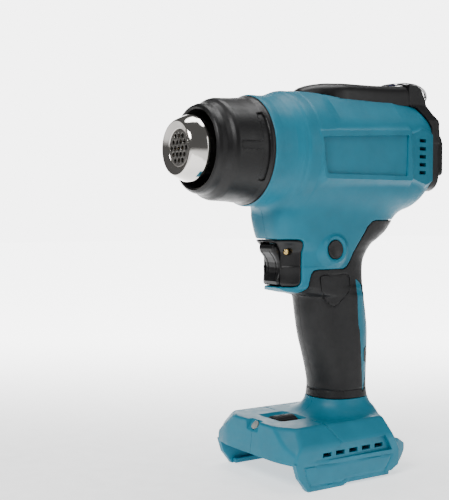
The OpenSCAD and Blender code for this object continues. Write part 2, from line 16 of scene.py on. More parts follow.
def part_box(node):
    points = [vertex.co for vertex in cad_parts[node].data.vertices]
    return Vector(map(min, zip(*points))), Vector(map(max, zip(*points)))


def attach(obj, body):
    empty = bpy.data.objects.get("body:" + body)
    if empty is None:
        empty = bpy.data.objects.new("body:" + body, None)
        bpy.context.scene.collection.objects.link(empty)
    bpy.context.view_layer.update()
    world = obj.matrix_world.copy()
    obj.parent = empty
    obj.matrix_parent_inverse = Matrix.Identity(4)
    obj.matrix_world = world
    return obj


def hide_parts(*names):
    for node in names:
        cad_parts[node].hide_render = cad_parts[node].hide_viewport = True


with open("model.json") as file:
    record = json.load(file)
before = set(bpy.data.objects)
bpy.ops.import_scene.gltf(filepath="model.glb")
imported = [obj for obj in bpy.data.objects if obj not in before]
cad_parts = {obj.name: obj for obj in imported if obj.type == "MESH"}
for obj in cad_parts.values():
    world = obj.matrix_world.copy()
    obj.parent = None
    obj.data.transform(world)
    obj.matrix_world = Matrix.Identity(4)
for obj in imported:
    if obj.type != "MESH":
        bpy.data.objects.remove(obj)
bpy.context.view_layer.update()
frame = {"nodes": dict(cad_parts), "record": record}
MM = 0.001


def box_mm(node):
    """Low and high corner of a CAD node in millimetres."""
    low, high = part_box(node)
    return np.array(low) / MM, np.array(high) / MM


# ---------------------------------------------------------------- sizes taken from the frame

TUBE_LOW, TUBE_HIGH = box_mm("nozzle_tube")
AXIS_Z = (TUBE_LOW[2] + TUBE_HIGH[2]) / 2
MUZZLE_X = TUBE_HIGH[0]
TUBE_R = (TUBE_HIGH[2] - TUBE_LOW[2]) / 2
SLEEVE_X = box_mm("heat_sleeve")[0][0] + 6.0      # the first 6 mm of the sleeve sit inside the housing
HOUSING_LOW, HOUSING_HIGH = box_mm("left_housing")
FOOT_HALF = HOUSING_HIGH[1]
SHELL_REAR = HOUSING_LOW[0]
INLET_LOW, INLET_HIGH = box_mm("inlet_cap")
COVER_LOW, COVER_HIGH = box_mm("rear_cover")
CAP_LOW, CAP_HIGH = box_mm("top_cap")
PIN_MID = sum(box_mm("trigger_pin")) / 2
LOCK_LOW, LOCK_HIGH = box_mm("lock_button")
LOCK_MID = (LOCK_LOW + LOCK_HIGH) / 2
DIAL_LOW, DIAL_HIGH = box_mm("dial_wheel")
DIAL_MID = (DIAL_LOW + DIAL_HIGH) / 2
LAMP_MID = sum(box_mm("foot_lamp_lens")) / 2
WINDOW_LOW, WINDOW_HIGH = box_mm("display_window")
KEY_LOW, KEY_HIGH = box_mm("down_key")
KEY_MID = (KEY_LOW + KEY_HIGH) / 2

GAP = 0.15              # gap between neighbouring pieces
SPLIT = 0.08            # half of the gap between the housing halves


# ---------------------------------------------------------------- distance fields

def soft_min(a, b, k):
    """Union with a rounded inner corner about k wide."""
    h = np.maximum(k - np.abs(a - b), 0.0) / k
    return np.minimum(a, b) - h * h * k / 4


def soft_max(a, b, k):
    """Intersection with a rounded outer edge about k wide."""
    return -soft_min(-a, -b, k)


def cut(a, b, k=0.0):
    """a without b."""
    return soft_max(a, -b, k) if k else np.maximum(a, -b)


def plane_fn(normal, point):
    n = np.array(normal, float) / np.linalg.norm(normal)
    d = n @ np.array(point, float)
    return lambda x, y, z: n[0] * x + n[1] * y + n[2] * z - d


def slab(v, low, high):
    return np.maximum(low - v, v - high)


def rounded_box(u, v, w, low, high, r=0.0):
    """A box with edges rounded to r."""
    mid, half = (np.array(low) + high) / 2, (np.array(high) - low) / 2 - r
    du, dv, dw = (np.abs(c - m) - h for c, m, h in zip((u, v, w), mid, half))
    outside = np.sqrt(np.maximum(du, 0) ** 2 + np.maximum(dv, 0) ** 2 + np.maximum(dw, 0) ** 2)
    return outside + np.minimum(np.maximum(np.maximum(du, dv), dw), 0) - r


def rounded_rect(u, v, low, high, r=0.0):
    mid, half = (np.array(low) + high) / 2, (np.array(high) - low) / 2 - r
    du, dv = (np.abs(c - m) - h for c, m, h in zip((u, v), mid, half))
    return np.hypot(np.maximum(du, 0), np.maximum(dv, 0)) + np.minimum(np.maximum(du, dv), 0) - r


def polygon(points, u, v):
    """Signed distance to a closed outline."""
    best = np.full(np.shape(u), 1e9)
    inside = np.zeros(np.shape(u), bool)
    for (u0, v0), (u1, v1) in zip(points, points[1:] + points[:1]):
        eu, ev, wu, wv = u1 - u0, v1 - v0, u - u0, v - v0
        t = np.clip((wu * eu + wv * ev) / (eu * eu + ev * ev), 0, 1)
        best = np.minimum(best, (wu - eu * t) ** 2 + (wv - ev * t) ** 2)
        if v0 != v1:
            inside ^= ((v0 > v) != (v1 > v)) & (u < eu * (v - v0) / ev + u0)
    return np.where(inside, -1, 1) * np.sqrt(best)


def line_distance(points, *coords):
    """Distance to an open polyline in two or three dimensions."""
    best = np.full(np.shape(coords[0]), 1e9)
    for a, b in zip(points, points[1:]):
        a, e = np.array(a, float), np.array(b, float) - a
        w = [c - ai for c, ai in zip(coords, a)]
        t = np.clip(sum(wi * ei for wi, ei in zip(w, e)) / (e @ e), 0, 1)
        best = np.minimum(best, sum((wi - ei * t) ** 2 for wi, ei in zip(w, e)))
    return np.sqrt(best)


def smooth_table(stations, values, samples=500):
    """Samples of a smooth curve through the values that doesn't overshoot them."""
    s, v = np.array(stations, float), np.array(values, float)
    h, d = np.diff(s), np.diff(v) / np.diff(s)
    m = np.zeros_like(v)
    same = d[:-1] * d[1:] > 0
    m[1:-1][same] = 2 * d[:-1][same] * d[1:][same] / (d[:-1] + d[1:])[same]
    m[0], m[-1] = d[0], d[-1]
    grid = np.linspace(s[0], s[-1], samples)
    i = np.clip(np.searchsorted(s, grid, side="right") - 1, 0, len(s) - 2)
    t = (grid - s[i]) / h[i]
    return grid, ((2 * t**3 - 3 * t**2 + 1) * v[i] + (t**3 - 2 * t**2 + t) * h[i] * m[i]
                  + (3 * t**2 - 2 * t**3) * v[i + 1] + (t**3 - t**2) * h[i] * m[i + 1])


def loft_fn(keys, grow=0.0):
    """Superellipse sections; a key is (station, low, high, half width, roundness low, roundness high)."""
    tables = [smooth_table([k[0] for k in keys], [k[c] for k in keys]) for c in range(1, 6)]
    start, stop = keys[0][0], keys[-1][0]

    def field(along, across, side):
        low, high, half, n_low, n_high = (np.interp(along, *t) for t in tables)
        mid, a = (low + high) / 2, (high - low) / 2 + grow
        p = np.maximum(np.abs(across - mid) / a, 1e-5)
        q = np.maximum(np.abs(side) / (half + grow), 1e-5)
        n = np.where(across < mid, n_low, n_high)
        r = (p**n + q**n) ** (1 / n)
        slope = np.hypot((p / r) ** (n - 1) / a, (q / r) ** (n - 1) / (half + grow))
        return np.maximum((r - 1) / slope, slab(along, start, stop))

    return field


# ---------------------------------------------------------------- meshing

BLOCK = 8               # cells along the side of a block that is sampled or skipped as one


def sample_near_surface(fn, low, step, cells):
    """The field on the grid, exact near the surface and only signed far from it."""
    blocks = -(-cells // BLOCK)
    axes = [low[a] + step * BLOCK * (np.arange(blocks[a]) + 0.5) for a in range(3)]
    centre = fn(*np.meshgrid(*axes, indexing="ij"))
    near = np.abs(centre) < BLOCK * step * 1.35
    nodes = blocks * BLOCK + 1
    values = np.where(centre < 0, -1e3, 1e3)
    for a in range(3):
        values = np.repeat(values, BLOCK, axis=a)
        values = np.concatenate([values, np.take(values, [-1], axis=a)], axis=a)
        near = np.repeat(near, BLOCK, axis=a)
    wanted = np.zeros(nodes, bool)
    for di in (0, 1):
        for dj in (0, 1):
            for dk in (0, 1):
                wanted[di:nodes[0] - 1 + di, dj:nodes[1] - 1 + dj, dk:nodes[2] - 1 + dk] |= near
    index = np.nonzero(wanted)
    values[index] = fn(*(low[a] + step * index[a] for a in range(3)))
    return values


def edge_crossings(fn, values, low, step):
    """For each grid edge that crosses the surface: its node, axis, point, normal and direction."""
    inside = values < 0
    found = []
    for axis in range(3):
        first = tuple(slice(0, -1) if a == axis else slice(1, -1) for a in range(3))
        second = tuple(slice(1, None) if a == axis else slice(1, -1) for a in range(3))
        node = np.argwhere(inside[first] != inside[second])
        node[:, [a for a in range(3) if a != axis]] += 1
        other = node.copy()
        other[:, axis] += 1
        f0, f1 = values[tuple(node.T)], values[tuple(other.T)]
        t0, t1 = np.zeros(len(node)), np.ones(len(node))
        base = low + step * node

        def point(t):
            p = base.copy()
            p[:, axis] += t * step
            return p

        for _ in range(4):
            margin = 0.05 * (t1 - t0)
            t = np.clip(t0 + (t1 - t0) * f0 / (f0 - f1 + 1e-12), t0 + margin, t1 - margin)
            f = fn(*point(t).T)
            same = (f < 0) == (f0 < 0)
            t0, f0 = np.where(same, t, t0), np.where(same, f, f0)
            t1, f1 = np.where(same, t1, t), np.where(same, f1, f)
        p = point(t0 + (t1 - t0) * f0 / (f0 - f1 + 1e-12))
        found.append((node, np.full(len(node), axis), p, values[tuple(node.T)] < 0))
    node, axis, p, leaving = (np.concatenate(part) for part in zip(*found))
    h = 0.02
    f = fn(*p.T)
    normal = np.stack([fn(*(p + h * np.eye(3)[a]).T) - f for a in range(3)], 1)
    normal /= np.linalg.norm(normal, axis=1, keepdims=True) + 1e-12
    return node, axis, p, normal, leaving


AROUND = {0: [(0, -1, -1), (0, 0, -1), (0, 0, 0), (0, -1, 0)],
          1: [(-1, 0, -1), (-1, 0, 0), (0, 0, 0), (0, 0, -1)],
          2: [(-1, -1, 0), (0, -1, 0), (0, 0, 0), (-1, 0, 0)]}


def dual_contour(fn, low, high, step):
    """Vertices and quads of the field's zero surface, with its sharp edges kept."""
    low = np.array(low, float)
    cells = np.ceil((np.array(high) - low) / step).astype(int)
    values = sample_near_surface(fn, low, step, cells)
    node, axis, p, normal, leaving = edge_crossings(fn, values, low, step)
    shift = np.array([AROUND[a] for a in range(3)])[axis]
    cell = (node[:, None, :] + shift).reshape(-1, 3)
    flat = np.ravel_multi_index(tuple(cell.T), values.shape)
    used, which = np.unique(flat, return_inverse=True)
    total = len(used)
    p4, n4 = np.repeat(p, 4, 0), np.repeat(normal, 4, 0)
    count = np.bincount(which, minlength=total)[:, None]
    mean = np.stack([np.bincount(which, p4[:, a], total) for a in range(3)], 1) / count
    offset = np.einsum("ij,ij->i", n4, p4 - mean[which])
    right = np.stack([np.bincount(which, n4[:, a] * offset, total) for a in range(3)], 1)
    matrix = np.empty((total, 3, 3))
    for a in range(3):
        for b in range(3):
            matrix[:, a, b] = np.bincount(which, n4[:, a] * n4[:, b], total)
    matrix += 0.04 * np.eye(3)
    corner = low + step * np.stack(np.unravel_index(used, values.shape), 1)
    vertices = mean + np.linalg.solve(matrix, right[:, :, None])[:, :, 0]
    vertices = np.clip(vertices, corner + 0.02 * step, corner + 0.98 * step)
    quads = which.reshape(-1, 4)
    quads = np.where(leaving[:, None], quads, quads[:, ::-1])
    return vertices, quads


def new_object(name, vertices, faces, sharp=35):
    """A smooth-shaded mesh object from millimetre vertices; edges steeper than sharp degrees stay crisp."""
    mesh = bpy.data.meshes.new(name)
    faces = np.asarray(faces)
    mesh.vertices.add(len(vertices))
    mesh.vertices.foreach_set("co", (np.asarray(vertices) * MM).ravel())
    mesh.loops.add(faces.size)
    mesh.loops.foreach_set("vertex_index", faces.ravel().astype(np.int32))
    mesh.polygons.add(len(faces))
    mesh.polygons.foreach_set("loop_start", np.arange(0, faces.size, faces.shape[1], dtype=np.int32))
    mesh.update(calc_edges=True)
    mesh.validate()
    return finish_object(name, mesh, sharp)


def finish_object(name, mesh, sharp=35):
    mesh.shade_smooth()
    mesh.set_sharp_from_angle(angle=math.radians(sharp))
    obj = bpy.data.objects.new(name, mesh)
    bpy.context.scene.collection.objects.link(obj)
    return obj


def shaped(name, fn, low, high, step, sharp=35, keep=None):
    """Object meshed from a field. keep is the share of faces left after merging flat areas."""
    vertices, quads = dual_contour(fn, low, high, step)
    obj = new_object(name, vertices, quads, sharp)
    if keep:
        thin = obj.modifiers.new("thin", "DECIMATE")
        thin.ratio = keep
        graph = bpy.context.evaluated_depsgraph_get()
        mesh = bpy.data.meshes.new_from_object(obj.evaluated_get(graph))
        obj.modifiers.clear()
        obj.data = mesh
        mesh.shade_smooth()
        mesh.set_sharp_from_angle(angle=math.radians(sharp))
    return obj


def lathe(name, profile, axis_z=AXIS_Z, segments=128, sharp=30):
    """Solid of revolution about the barrel axis from a closed outline of (x, radius) points."""
    turns = 2 * np.pi * np.arange(segments) / segments
    ring = np.array(profile, float)
    n = len(ring)
    x = np.tile(ring[:, 0], segments)
    y = (np.cos(turns)[:, None] * ring[:, 1]).ravel()
    z = axis_z + (np.sin(turns)[:, None] * ring[:, 1]).ravel()
    i, j = np.meshgrid(np.arange(segments), np.arange(n), indexing="ij")
    a = (i * n + j).ravel()
    b = (i * n + (j + 1) % n).ravel()
    c = (((i + 1) % segments) * n + (j + 1) % n).ravel()
    d = (((i + 1) % segments) * n + j).ravel()
    return new_object(name, np.stack([x, y, z], 1), np.stack([a, d, c, b], 1), sharp)


def round_corners(points, radius, steps=5, closed=True):
    """An outline with each corner replaced by a short curve."""
    pts = [np.array(p, float) for p in points]
    out = []
    for i, p in enumerate(pts):
        if not closed and i in (0, len(pts) - 1):
            out.append(p)
            continue
        a, b = pts[i - 1] - p, pts[(i + 1) % len(pts)] - p
        la, lb = np.linalg.norm(a), np.linalg.norm(b)
        r = min(radius, 0.45 * la, 0.45 * lb)
        a, b = p + a / la * r, p + b / lb * r
        for k in range(steps + 1):
            t = k / steps
            out.append((1 - t) ** 2 * a + 2 * t * (1 - t) * p + t * t * b)
    return [tuple(q) for q in out]


TIP_BULGE = 0.3         # how far a wire's ends bulge, as a share of its radius


def tube(name, path, radius, sides=16, sharp=60):
    """A round wire along a path of millimetre points, with closed ends."""
    path = np.array(path, float)
    tangent = np.gradient(path, axis=0)
    tangent /= np.linalg.norm(tangent, axis=1, keepdims=True)
    side = np.cross(tangent[0], [0.3, 0.2, 1.0])
    rings = []
    for p, t in zip(path, tangent):
        side = side - t * (side @ t)
        side /= np.linalg.norm(side)
        other = np.cross(t, side)
        angle = 2 * np.pi * np.arange(sides) / sides
        rings.append(p + radius * (np.cos(angle)[:, None] * side + np.sin(angle)[:, None] * other))
    tips = [path[:1] - tangent[:1] * radius * TIP_BULGE, path[-1:] + tangent[-1:] * radius * TIP_BULGE]
    vertices = np.concatenate(rings + tips)
    n, last = len(path), (len(path) - 1) * sides
    faces = []
    for j in range(n - 1):
        for i in range(sides):
            k = (i + 1) % sides
            faces.append([j * sides + i, j * sides + k, (j + 1) * sides + k, (j + 1) * sides + i])
    for i in range(sides):
        k = (i + 1) % sides
        faces.append([k, i, n * sides])
        faces.append([last + i, last + k, n * sides + 1])
    mesh = bpy.data.meshes.new(name)
    mesh.from_pydata([tuple(v * MM) for v in vertices], [], faces)
    return finish_object(name, mesh, sharp)


def smooth_path(points, count=60):
    """A smooth curve through 3-D points, evenly spread by length."""
    pts = np.array(points, float)
    s = np.concatenate([[0], np.cumsum(np.linalg.norm(np.diff(pts, axis=0), axis=1))])
    dense = np.stack([smooth_table(s, pts[:, a], 400)[1] for a in range(3)], 1)
    length = np.concatenate([[0], np.cumsum(np.linalg.norm(np.diff(dense, axis=0), axis=1))])
    even = np.linspace(0, length[-1], count)
    return np.stack([np.interp(even, length, dense[:, a]) for a in range(3)], 1)


# ---------------------------------------------------------------- outer shape of the housing and handle

# Barrel: (x, bottom, top, half width, roundness below, roundness above)
head_keys = [
    (SHELL_REAR - 1, 157, 207, 23.8, 3, 3.4), (-69, 152.8, 211.2, 25.6, 3, 3.4),
    (-62, 149.4, 214.2, 28.0, 2.9, 3.2), (-52, 147.8, 215.8, 30.3, 2.8, 2.9),
    (-38, 147.4, 216.2, 32.1, 2.6, 2.6), (-18, 147.6, 216.4, 32.9, 2.4, 2.4),
    (2, 147.6, 216.4, 33.2, 2.2, 2.2), (18, 147.8, 216.2, 34.1, 2, 2)
]
# Handle and trunk: (z, rear, front, half width, roundness behind, roundness ahead)
column_keys = [
    (28, -39, 2.4, 17.9, 2.3, 2.3), (39, -37.6, -2.2, 17.2, 2.3, 2.3), (48, -36.7, -2.9, 16.2, 2.3, 2.3),
    (57, -37.2, -1.2, 16, 2.3, 2.3), (66, -37.9, 1.4, 16, 2.3, 2.3), (78, -38.3, 5, 16.2, 2.3, 2.3),
    (90, -37, 7.1, 16.5, 2.3, 2.3), (97, -35.6, 7.9, 16.9, 2.3, 2.3), (100.5, -35.3, 8.4, 17, 2.3, 2.4),
    (102.2, -35.2, 13.3, 17, 2.3, 3), (103.4, -35.2, 16, 17, 2.3, 3.6), (105, -35.2, 17.7, 17, 2.3, 3.8),
    (107, -35.2, 25.3, 17, 2.3, 3.4), (110, -35.1, 27.9, 17, 2.3, 2.8), (114.5, -34.9, 28, 17.1, 2.3, 2.6),
    (118, -35, 28.1, 17.3, 2.3, 2.6), (121, -35.6, 28.2, 17.4, 2.3, 2.6),
    (126, -38.3, 28.4, 17.8, 2.3, 2.6), (130, -41.4, 29.4, 18.4, 2.4, 3.4),
    (133, -46.5, 30.4, 18.7, 2.4, 4.6), (138, -53.2, 32, 19.4, 2.4, 4.6),
    (144, -57.3, 33.2, 20.4, 2.5, 4.6), (152, -60, 34, 22.5, 2.6, 3.6), (166, -52, 34, 27, 2.6, 3)
]
# Nose ring: (x, radius), stepped down towards the heat sleeve
nose_outline = [
    (8, 12), (8, 34.0), (17.4, 34.1), (23.5, 34.0), (25.6, 33.7), (26.8, 33.0), (28.6, 32.6), (30.2, 31.9),
    (32.6, 31.1), (36, 30.6), (40, 30.35), (43.6, 30.5), (45.4, 30.4), (SLEEVE_X, 29.9), (SLEEVE_X, 12)
]
GRIP_FOOT = 41.5        # height where the rubber ends and the foot begins
head = loft_fn(head_keys)
column = loft_fn(column_keys)
column_core = loft_fn(column_keys, grow=-2.0)


def radius_yz(y, z):
    return np.hypot(y, z - AXIS_Z)


SHOULDER_NORMAL = (0.742, 0.670)        # in y and z
SHOULDER_REACH = 155.2


def shoulder_fn(x, y, z):
    """Flat shoulders between the cap and the sides, fading out towards the nose."""
    reach = SHOULDER_REACH + np.clip((x - 2) / 14, 0, 1) * 3.5 - np.clip((-x - 46) / 24, 0, 1) * 2.2
    return SHOULDER_NORMAL[0] * y + SHOULDER_NORMAL[1] * z - reach


rear_frame = round_corners([
    (-47.5, 193.4), (-60.8, 197.6), (-70.4, 196), (-80, 192), (-80, 169), (-66, 163.6), (-47, 167.4)
], 1.5)
side_frame = round_corners([(20, 192.8), (-49, 196.0), (-50, 165.6), (16, 165.8), (19, 178)], 2.0)
side_panel = round_corners([(17.6, 188.9), (-46.0, 192.4), (-45.2, 169.0), (13.9, 169.3), (16.6, 178)], 1.0)


SIDE_LEVEL, SIDE_DROP = 33.45, 0.95     # how far the side frame stands out, and how much less at its rear
REAR_LEVEL, REAR_SLOPE = 32.5, 0.32     # the rear frame leans in towards the rear
FRAME_BEVEL = 0.8
FRAME_INNER_Y = 20


def frames_fn(x, y, z):
    """Raised flat frames round the side panel and round the rear air slots, with bevelled edges."""
    level = SIDE_LEVEL - np.clip((-x - 22) / 26, 0, 1) ** 2 * SIDE_DROP
    flat = np.maximum(polygon(side_frame, x, z) + (y - level + 1.1) * FRAME_BEVEL, y - level)
    rear_level = REAR_LEVEL - (-x - 48) * REAR_SLOPE
    rear = np.maximum(polygon(rear_frame, x, z) + (y - rear_level + 1.0) * FRAME_BEVEL, y - rear_level)
    return np.maximum(np.minimum(flat, rear), FRAME_INNER_Y - y)


chin_side = [
    (0, 102.6), (13, 102.4), (19, 102.9), (24.6, 104.4), (27.4, 106.3), (28.3, 109), (28.3, 118),
    (0, 118)
]
chin_front = [
    (-2, 102.3), (4.5, 102.4), (9.6, 103.2), (13.4, 104.8), (16, 107.4), (17, 111), (17, 118), (-2, 118)
]


CHIN_PLAN_Z = 111.0     # the chin keeps inside the trunk's section at this height


def chin_fn(x, y, z):
    """Rounded chin of the housing under the trigger."""
    body = soft_max(polygon(chin_side, x, z), polygon(chin_front, y, z), 1.5)
    return np.maximum(body, column(np.maximum(z, CHIN_PLAN_Z), x, y))


TRUNK_LOW = 40          # height below which the foot takes over


def outer_fn(x, y, z):
    """The tool's outer shape without its cap, for y >= 0."""
    barrel = soft_max(head(x, z, y), shoulder_fn(x, y, z), 1.6)
    barrel = soft_min(barrel, frames_fn(x, y, z), 0.8)
    barrel = soft_min(barrel, polygon(nose_outline, x, radius_yz(y, z)), 0.6)
    barrel = soft_min(barrel, np.maximum(column(z, x, y), TRUNK_LOW - z), 5.0)
    return soft_min(barrel, chin_fn(x, y, z), 1.2)


FAN_BORE_R, HEATER_BORE_R, FILTER_BORE_R = 28, 26.1, 20.5
CAVITY_HALF = 9.2       # half width of the space inside the handle
cavity_outline = [
    (-30, 20), (-30, 60), (-27, 100), (-26, 160), (18, 160), (18, 134), (14, 106), (5, 104), (3.2, 100),
    (-8.5, 60), (-10, 20)
]


def bores_fn(x, y, z):
    """Inside of the barrel and of the handle."""
    r = radius_yz(y, z)
    air = np.maximum(r - FAN_BORE_R, slab(x, -50, 36))
    air = np.minimum(air, np.maximum(r - HEATER_BORE_R, slab(x, 35, 60)))
    cone = [(-49.9, -1), (-49.9, FAN_BORE_R), (SHELL_REAR - 1, FILTER_BORE_R), (SHELL_REAR - 1, -1)]
    air = np.minimum(air, polygon(cone, x, r))
    return np.minimum(air, np.maximum(polygon(cavity_outline, x, z), y - CAVITY_HALF))


# ---------------------------------------------------------------- foot

CHANNEL_Z = 14.5        # roof of the battery channel
DECK_Z = 32.7           # top of the foot
RAIL_T = 3.4            # thickness of the rails beside the battery
RECESS_SLOPE = 2.3 / 60
NECK_ROUND = 11.0       # fillet between the handle and the deck
foot_planes = [
    plane_fn((0, 0, 1), (0, 0, DECK_Z)),
    plane_fn((17.5, 0, 2.0), (39.9, 0, 32)),
    plane_fn((0, 1, 0), (0, FOOT_HALF, 0)),
    plane_fn((0, 8, 6.8), (0, 31.2, 31.4)),
    plane_fn((97.4, 63.2, 83.2), (40, 21, 31.1)),
    plane_fn((10, 2.5, 0), (41, 28, 0)),
    plane_fn((-16.6, 0, 4.9), (-38.6, 0, 32.6)),
    plane_fn((-49.2, 22.6, 26.8), (-39.7, 14, 26.7)),
]
rail_outline = [
    (30.6, 0), (36.6, 7.7), (39.2, 15.8), (-34, 15.8), (-34, 6), (-29, 3.2), (-24.3, 3.0), (-23, 1.6),
    (3.9, 1.2), (6.6, 0)
]
bumper_outline = round_corners([
    (-29, 21.5), (-35.3, 20.4), (-42.4, 16.4), (-42.2, 12.2), (-39.5, 9.0), (-35.8, 6.0), (-32.4, 4.4),
    (-28.4, 3.8), (-28.4, 15)
], 0.8, steps=2)
slot_recess = [(33, 15.4), (22, 16.9), (6.8, 23.4), (-24.7, 23.6), (-29.4, 15.0)]
rail_panel = [(33.2, 13.4), (29.4, 3.0), (7.2, 2.2), (4.4, 3.6), (-23.6, 3.6), (-29.4, 12.4)]
foot_seam = [(12.0, 17.5, DECK_Z), (12.4, 30.2, DECK_Z - 0.4), (6.8, 38, 23.4)]
SLOT_X = [-24.1 + 9.6 * i for i in range(5)]
SLOT_LONG = 6.3
LAMP_TILT = math.radians(52)
DIAL_HALF = 9.2         # half width of the dial's window


def convex(planes, x, y, z, k):
    """The space behind all the planes, with its edges rounded to about k."""
    d = planes[0](x, y, z)
    for p in planes[1:]:
        d = soft_max(d, p(x, y, z), k)
    return d


def foot_fn(x, y, z):
    """Foot for y >= 0, still without its hollows."""
    body = np.maximum(convex(foot_planes, x, y, z, 1.5), CHANNEL_Z - z)
    neck = np.maximum(column(z, x, y), 29 - z)
    body = np.maximum(soft_min(body, neck, NECK_ROUND), z - GRIP_FOOT + GAP)
    # end wall of the channel, standing proud behind the foot
    bumper_side = y - FOOT_HALF + 1.0 + np.maximum(-x - 34, 0) * 0.35
    bumper = soft_max(polygon(bumper_outline, x, z), bumper_side, 1.0)
    rail = soft_max(polygon(rail_outline, x, z), slab(y, FOOT_HALF - RAIL_T, FOOT_HALF), 0.5)
    lip = rounded_box(x, y, z, [-29, FOOT_HALF - RAIL_T - 3, 0.4], [30, FOOT_HALF - RAIL_T + 1, 3.2], 0.4)
    solid = np.minimum(np.minimum(body, bumper), np.minimum(rail, lip))
    # sunken strip with the cooling slots, deeper towards the rear
    depth = np.clip(33 - x, 0, 60) * RECESS_SLOPE
    solid = cut(solid, np.maximum(polygon(slot_recess, x, z), FOOT_HALF - depth - y))
    groove = np.abs(polygon(rail_panel, x, z)) - 0.4
    solid = cut(solid, np.maximum(groove, FOOT_HALF - 0.5 - y), 0.3)
    return cut(solid, line_distance(foot_seam, x, y, z) - 0.42, 0.3)


def lamp_axes(x, z):
    """Distance along the lamp's axis, and sideways from it."""
    dx, dz = x - LAMP_MID[0], z - LAMP_MID[2]
    return (dx * math.sin(LAMP_TILT) + dz * math.cos(LAMP_TILT),
            dx * math.cos(LAMP_TILT) - dz * math.sin(LAMP_TILT))


LAMP_BORE_R, LAMP_BORE_DEPTH = 2.75, 12
LAMP_FLARE = 0.45
SCOOP_DEPTH = 2.2       # depth of the slanting rim round the dial's window


def foot_hollows_fn(x, y, z):
    """Rooms, cooling slots, dial window and lamp pocket of the foot."""
    room = rounded_box(x, y, z, [-30, -40, 16.6], [31, 31, 28.4], 0.5)
    room = np.minimum(room, rounded_box(x, y, z, [-29.9, -40, 10], [12.1, 13.1, 17.5]))
    for slot_x in SLOT_X:
        cooling_slot = rounded_box(x, y, z, [slot_x, 28, 17.1], [slot_x + SLOT_LONG, 45, 19.5], 0.3)
        room = np.minimum(room, cooling_slot)
    # dial window with a scooped rim
    low, high = DIAL_LOW[0] - 0.9, DIAL_HIGH[0] + 0.9
    hole = rounded_box(x, y, z, [low, -DIAL_HALF, 24], [high, DIAL_HALF, 45], 1.0)
    rim = rounded_rect(x, y, [low - 1.2, -DIAL_HALF - 2.6], [high + 1.2, DIAL_HALF + 2.6], 2.5)
    scoop = np.maximum(rim + np.clip(DECK_Z - z, -1, 9) * 1.2, DECK_Z - SCOOP_DEPTH - z)
    # pocket and bore of the lamp
    along, across = lamp_axes(x, z)
    bore = np.maximum(np.hypot(across, y) - LAMP_BORE_R, -LAMP_BORE_DEPTH - along)
    flare = rounded_rect(across, y, [-4.9, -5.0], [4.9, 5.0], 1.8) - np.clip(along + 0.4, 0, 9) * LAMP_FLARE
    room = np.minimum(np.minimum(room, hole), scoop)
    room = np.minimum(room, np.minimum(bore, np.maximum(flare, -0.2 - along)))
    return np.maximum(room, z - GRIP_FOOT)


# ---------------------------------------------------------------- grip, trigger surround and lock button

grip_outline = [
    (60, GRIP_FOOT), (-70, GRIP_FOOT), (-70, 144.0), (-33.4, 143.8), (-30.2, 142.8), (-27.4, 140.2),
    (-24.4, 135), (-19.2, 126.4), (-15.8, 120.2), (-13.6, 117.6), (-10.6, 116.3), (6.4, 116.3),
    (10.0, 115.9), (11.4, 114.2), (12.4, 111.0), (13.4, 107.2), (14.8, 104.2), (16.6, 102.4),
    (20.0, 101.6), (60, 101.4)
]
BEZEL_X, BEZEL_LOW, BEZEL_HIGH = 17.6, 107.2, 133.2
bezel_outline = round_corners([
    (BEZEL_X, BEZEL_LOW), (70, BEZEL_LOW), (70, BEZEL_HIGH), (BEZEL_X, BEZEL_HIGH)
], 4.6)
BUTTON_R = (LOCK_HIGH[0] - LOCK_LOW[0]) / 2
screw_spots = [(25, 143), (-42, 146), (-20, 112), (-34, 24), (35.3, 22)]
# Strip of hard plastic along the handle's rear corner: x of its front and rear edge at heights z
STRIPE_LOW, STRIPE_HIGH = 44.5, 108.5
stripe_front = smooth_table([STRIPE_LOW, 54, 64, 79.4, 83.5, 95.3, STRIPE_HIGH],
                            [-27.0, -26.9, -26.2, -24.9, -23.6, -22.7, -22.1])
stripe_rear = smooth_table([STRIPE_LOW, 54, 58, 60.5, 62, 69, 70.5, 74.7, 88, 98.8, STRIPE_HIGH],
                           [-27.2, -31.4, -33.2, -32.6, -29.2, -29.1, -33.0, -34.7, -33.7, -29.5, -27.9])


def stripe_fn(x, y, z):
    front, rear = np.interp(z, *stripe_front), np.interp(z, *stripe_rear)
    band = slab(z, STRIPE_LOW, STRIPE_HIGH + (x + 25) * 0.6)
    return np.maximum(np.maximum(slab(x, rear, front), band), 3 - y)


BOSS_TOP_R, BOSS_LIP_R, BOSS_END_R = 7.5, 6.7, 13


def lock_boss_fn(x, y, z):
    """Raised collar round the lock button, with a soft outer slope."""
    r = np.hypot(x - LOCK_MID[0], z - LOCK_MID[2])
    crest = LOCK_HIGH[1] - 0.1 - np.maximum(r - BOSS_TOP_R, 0) * 0.9 - np.maximum(BOSS_LIP_R - r, 0) * 0.6
    return np.maximum(np.maximum(y - crest, r - BOSS_END_R), 12 - y)


# ---------------------------------------------------------------- top cap and rear cover

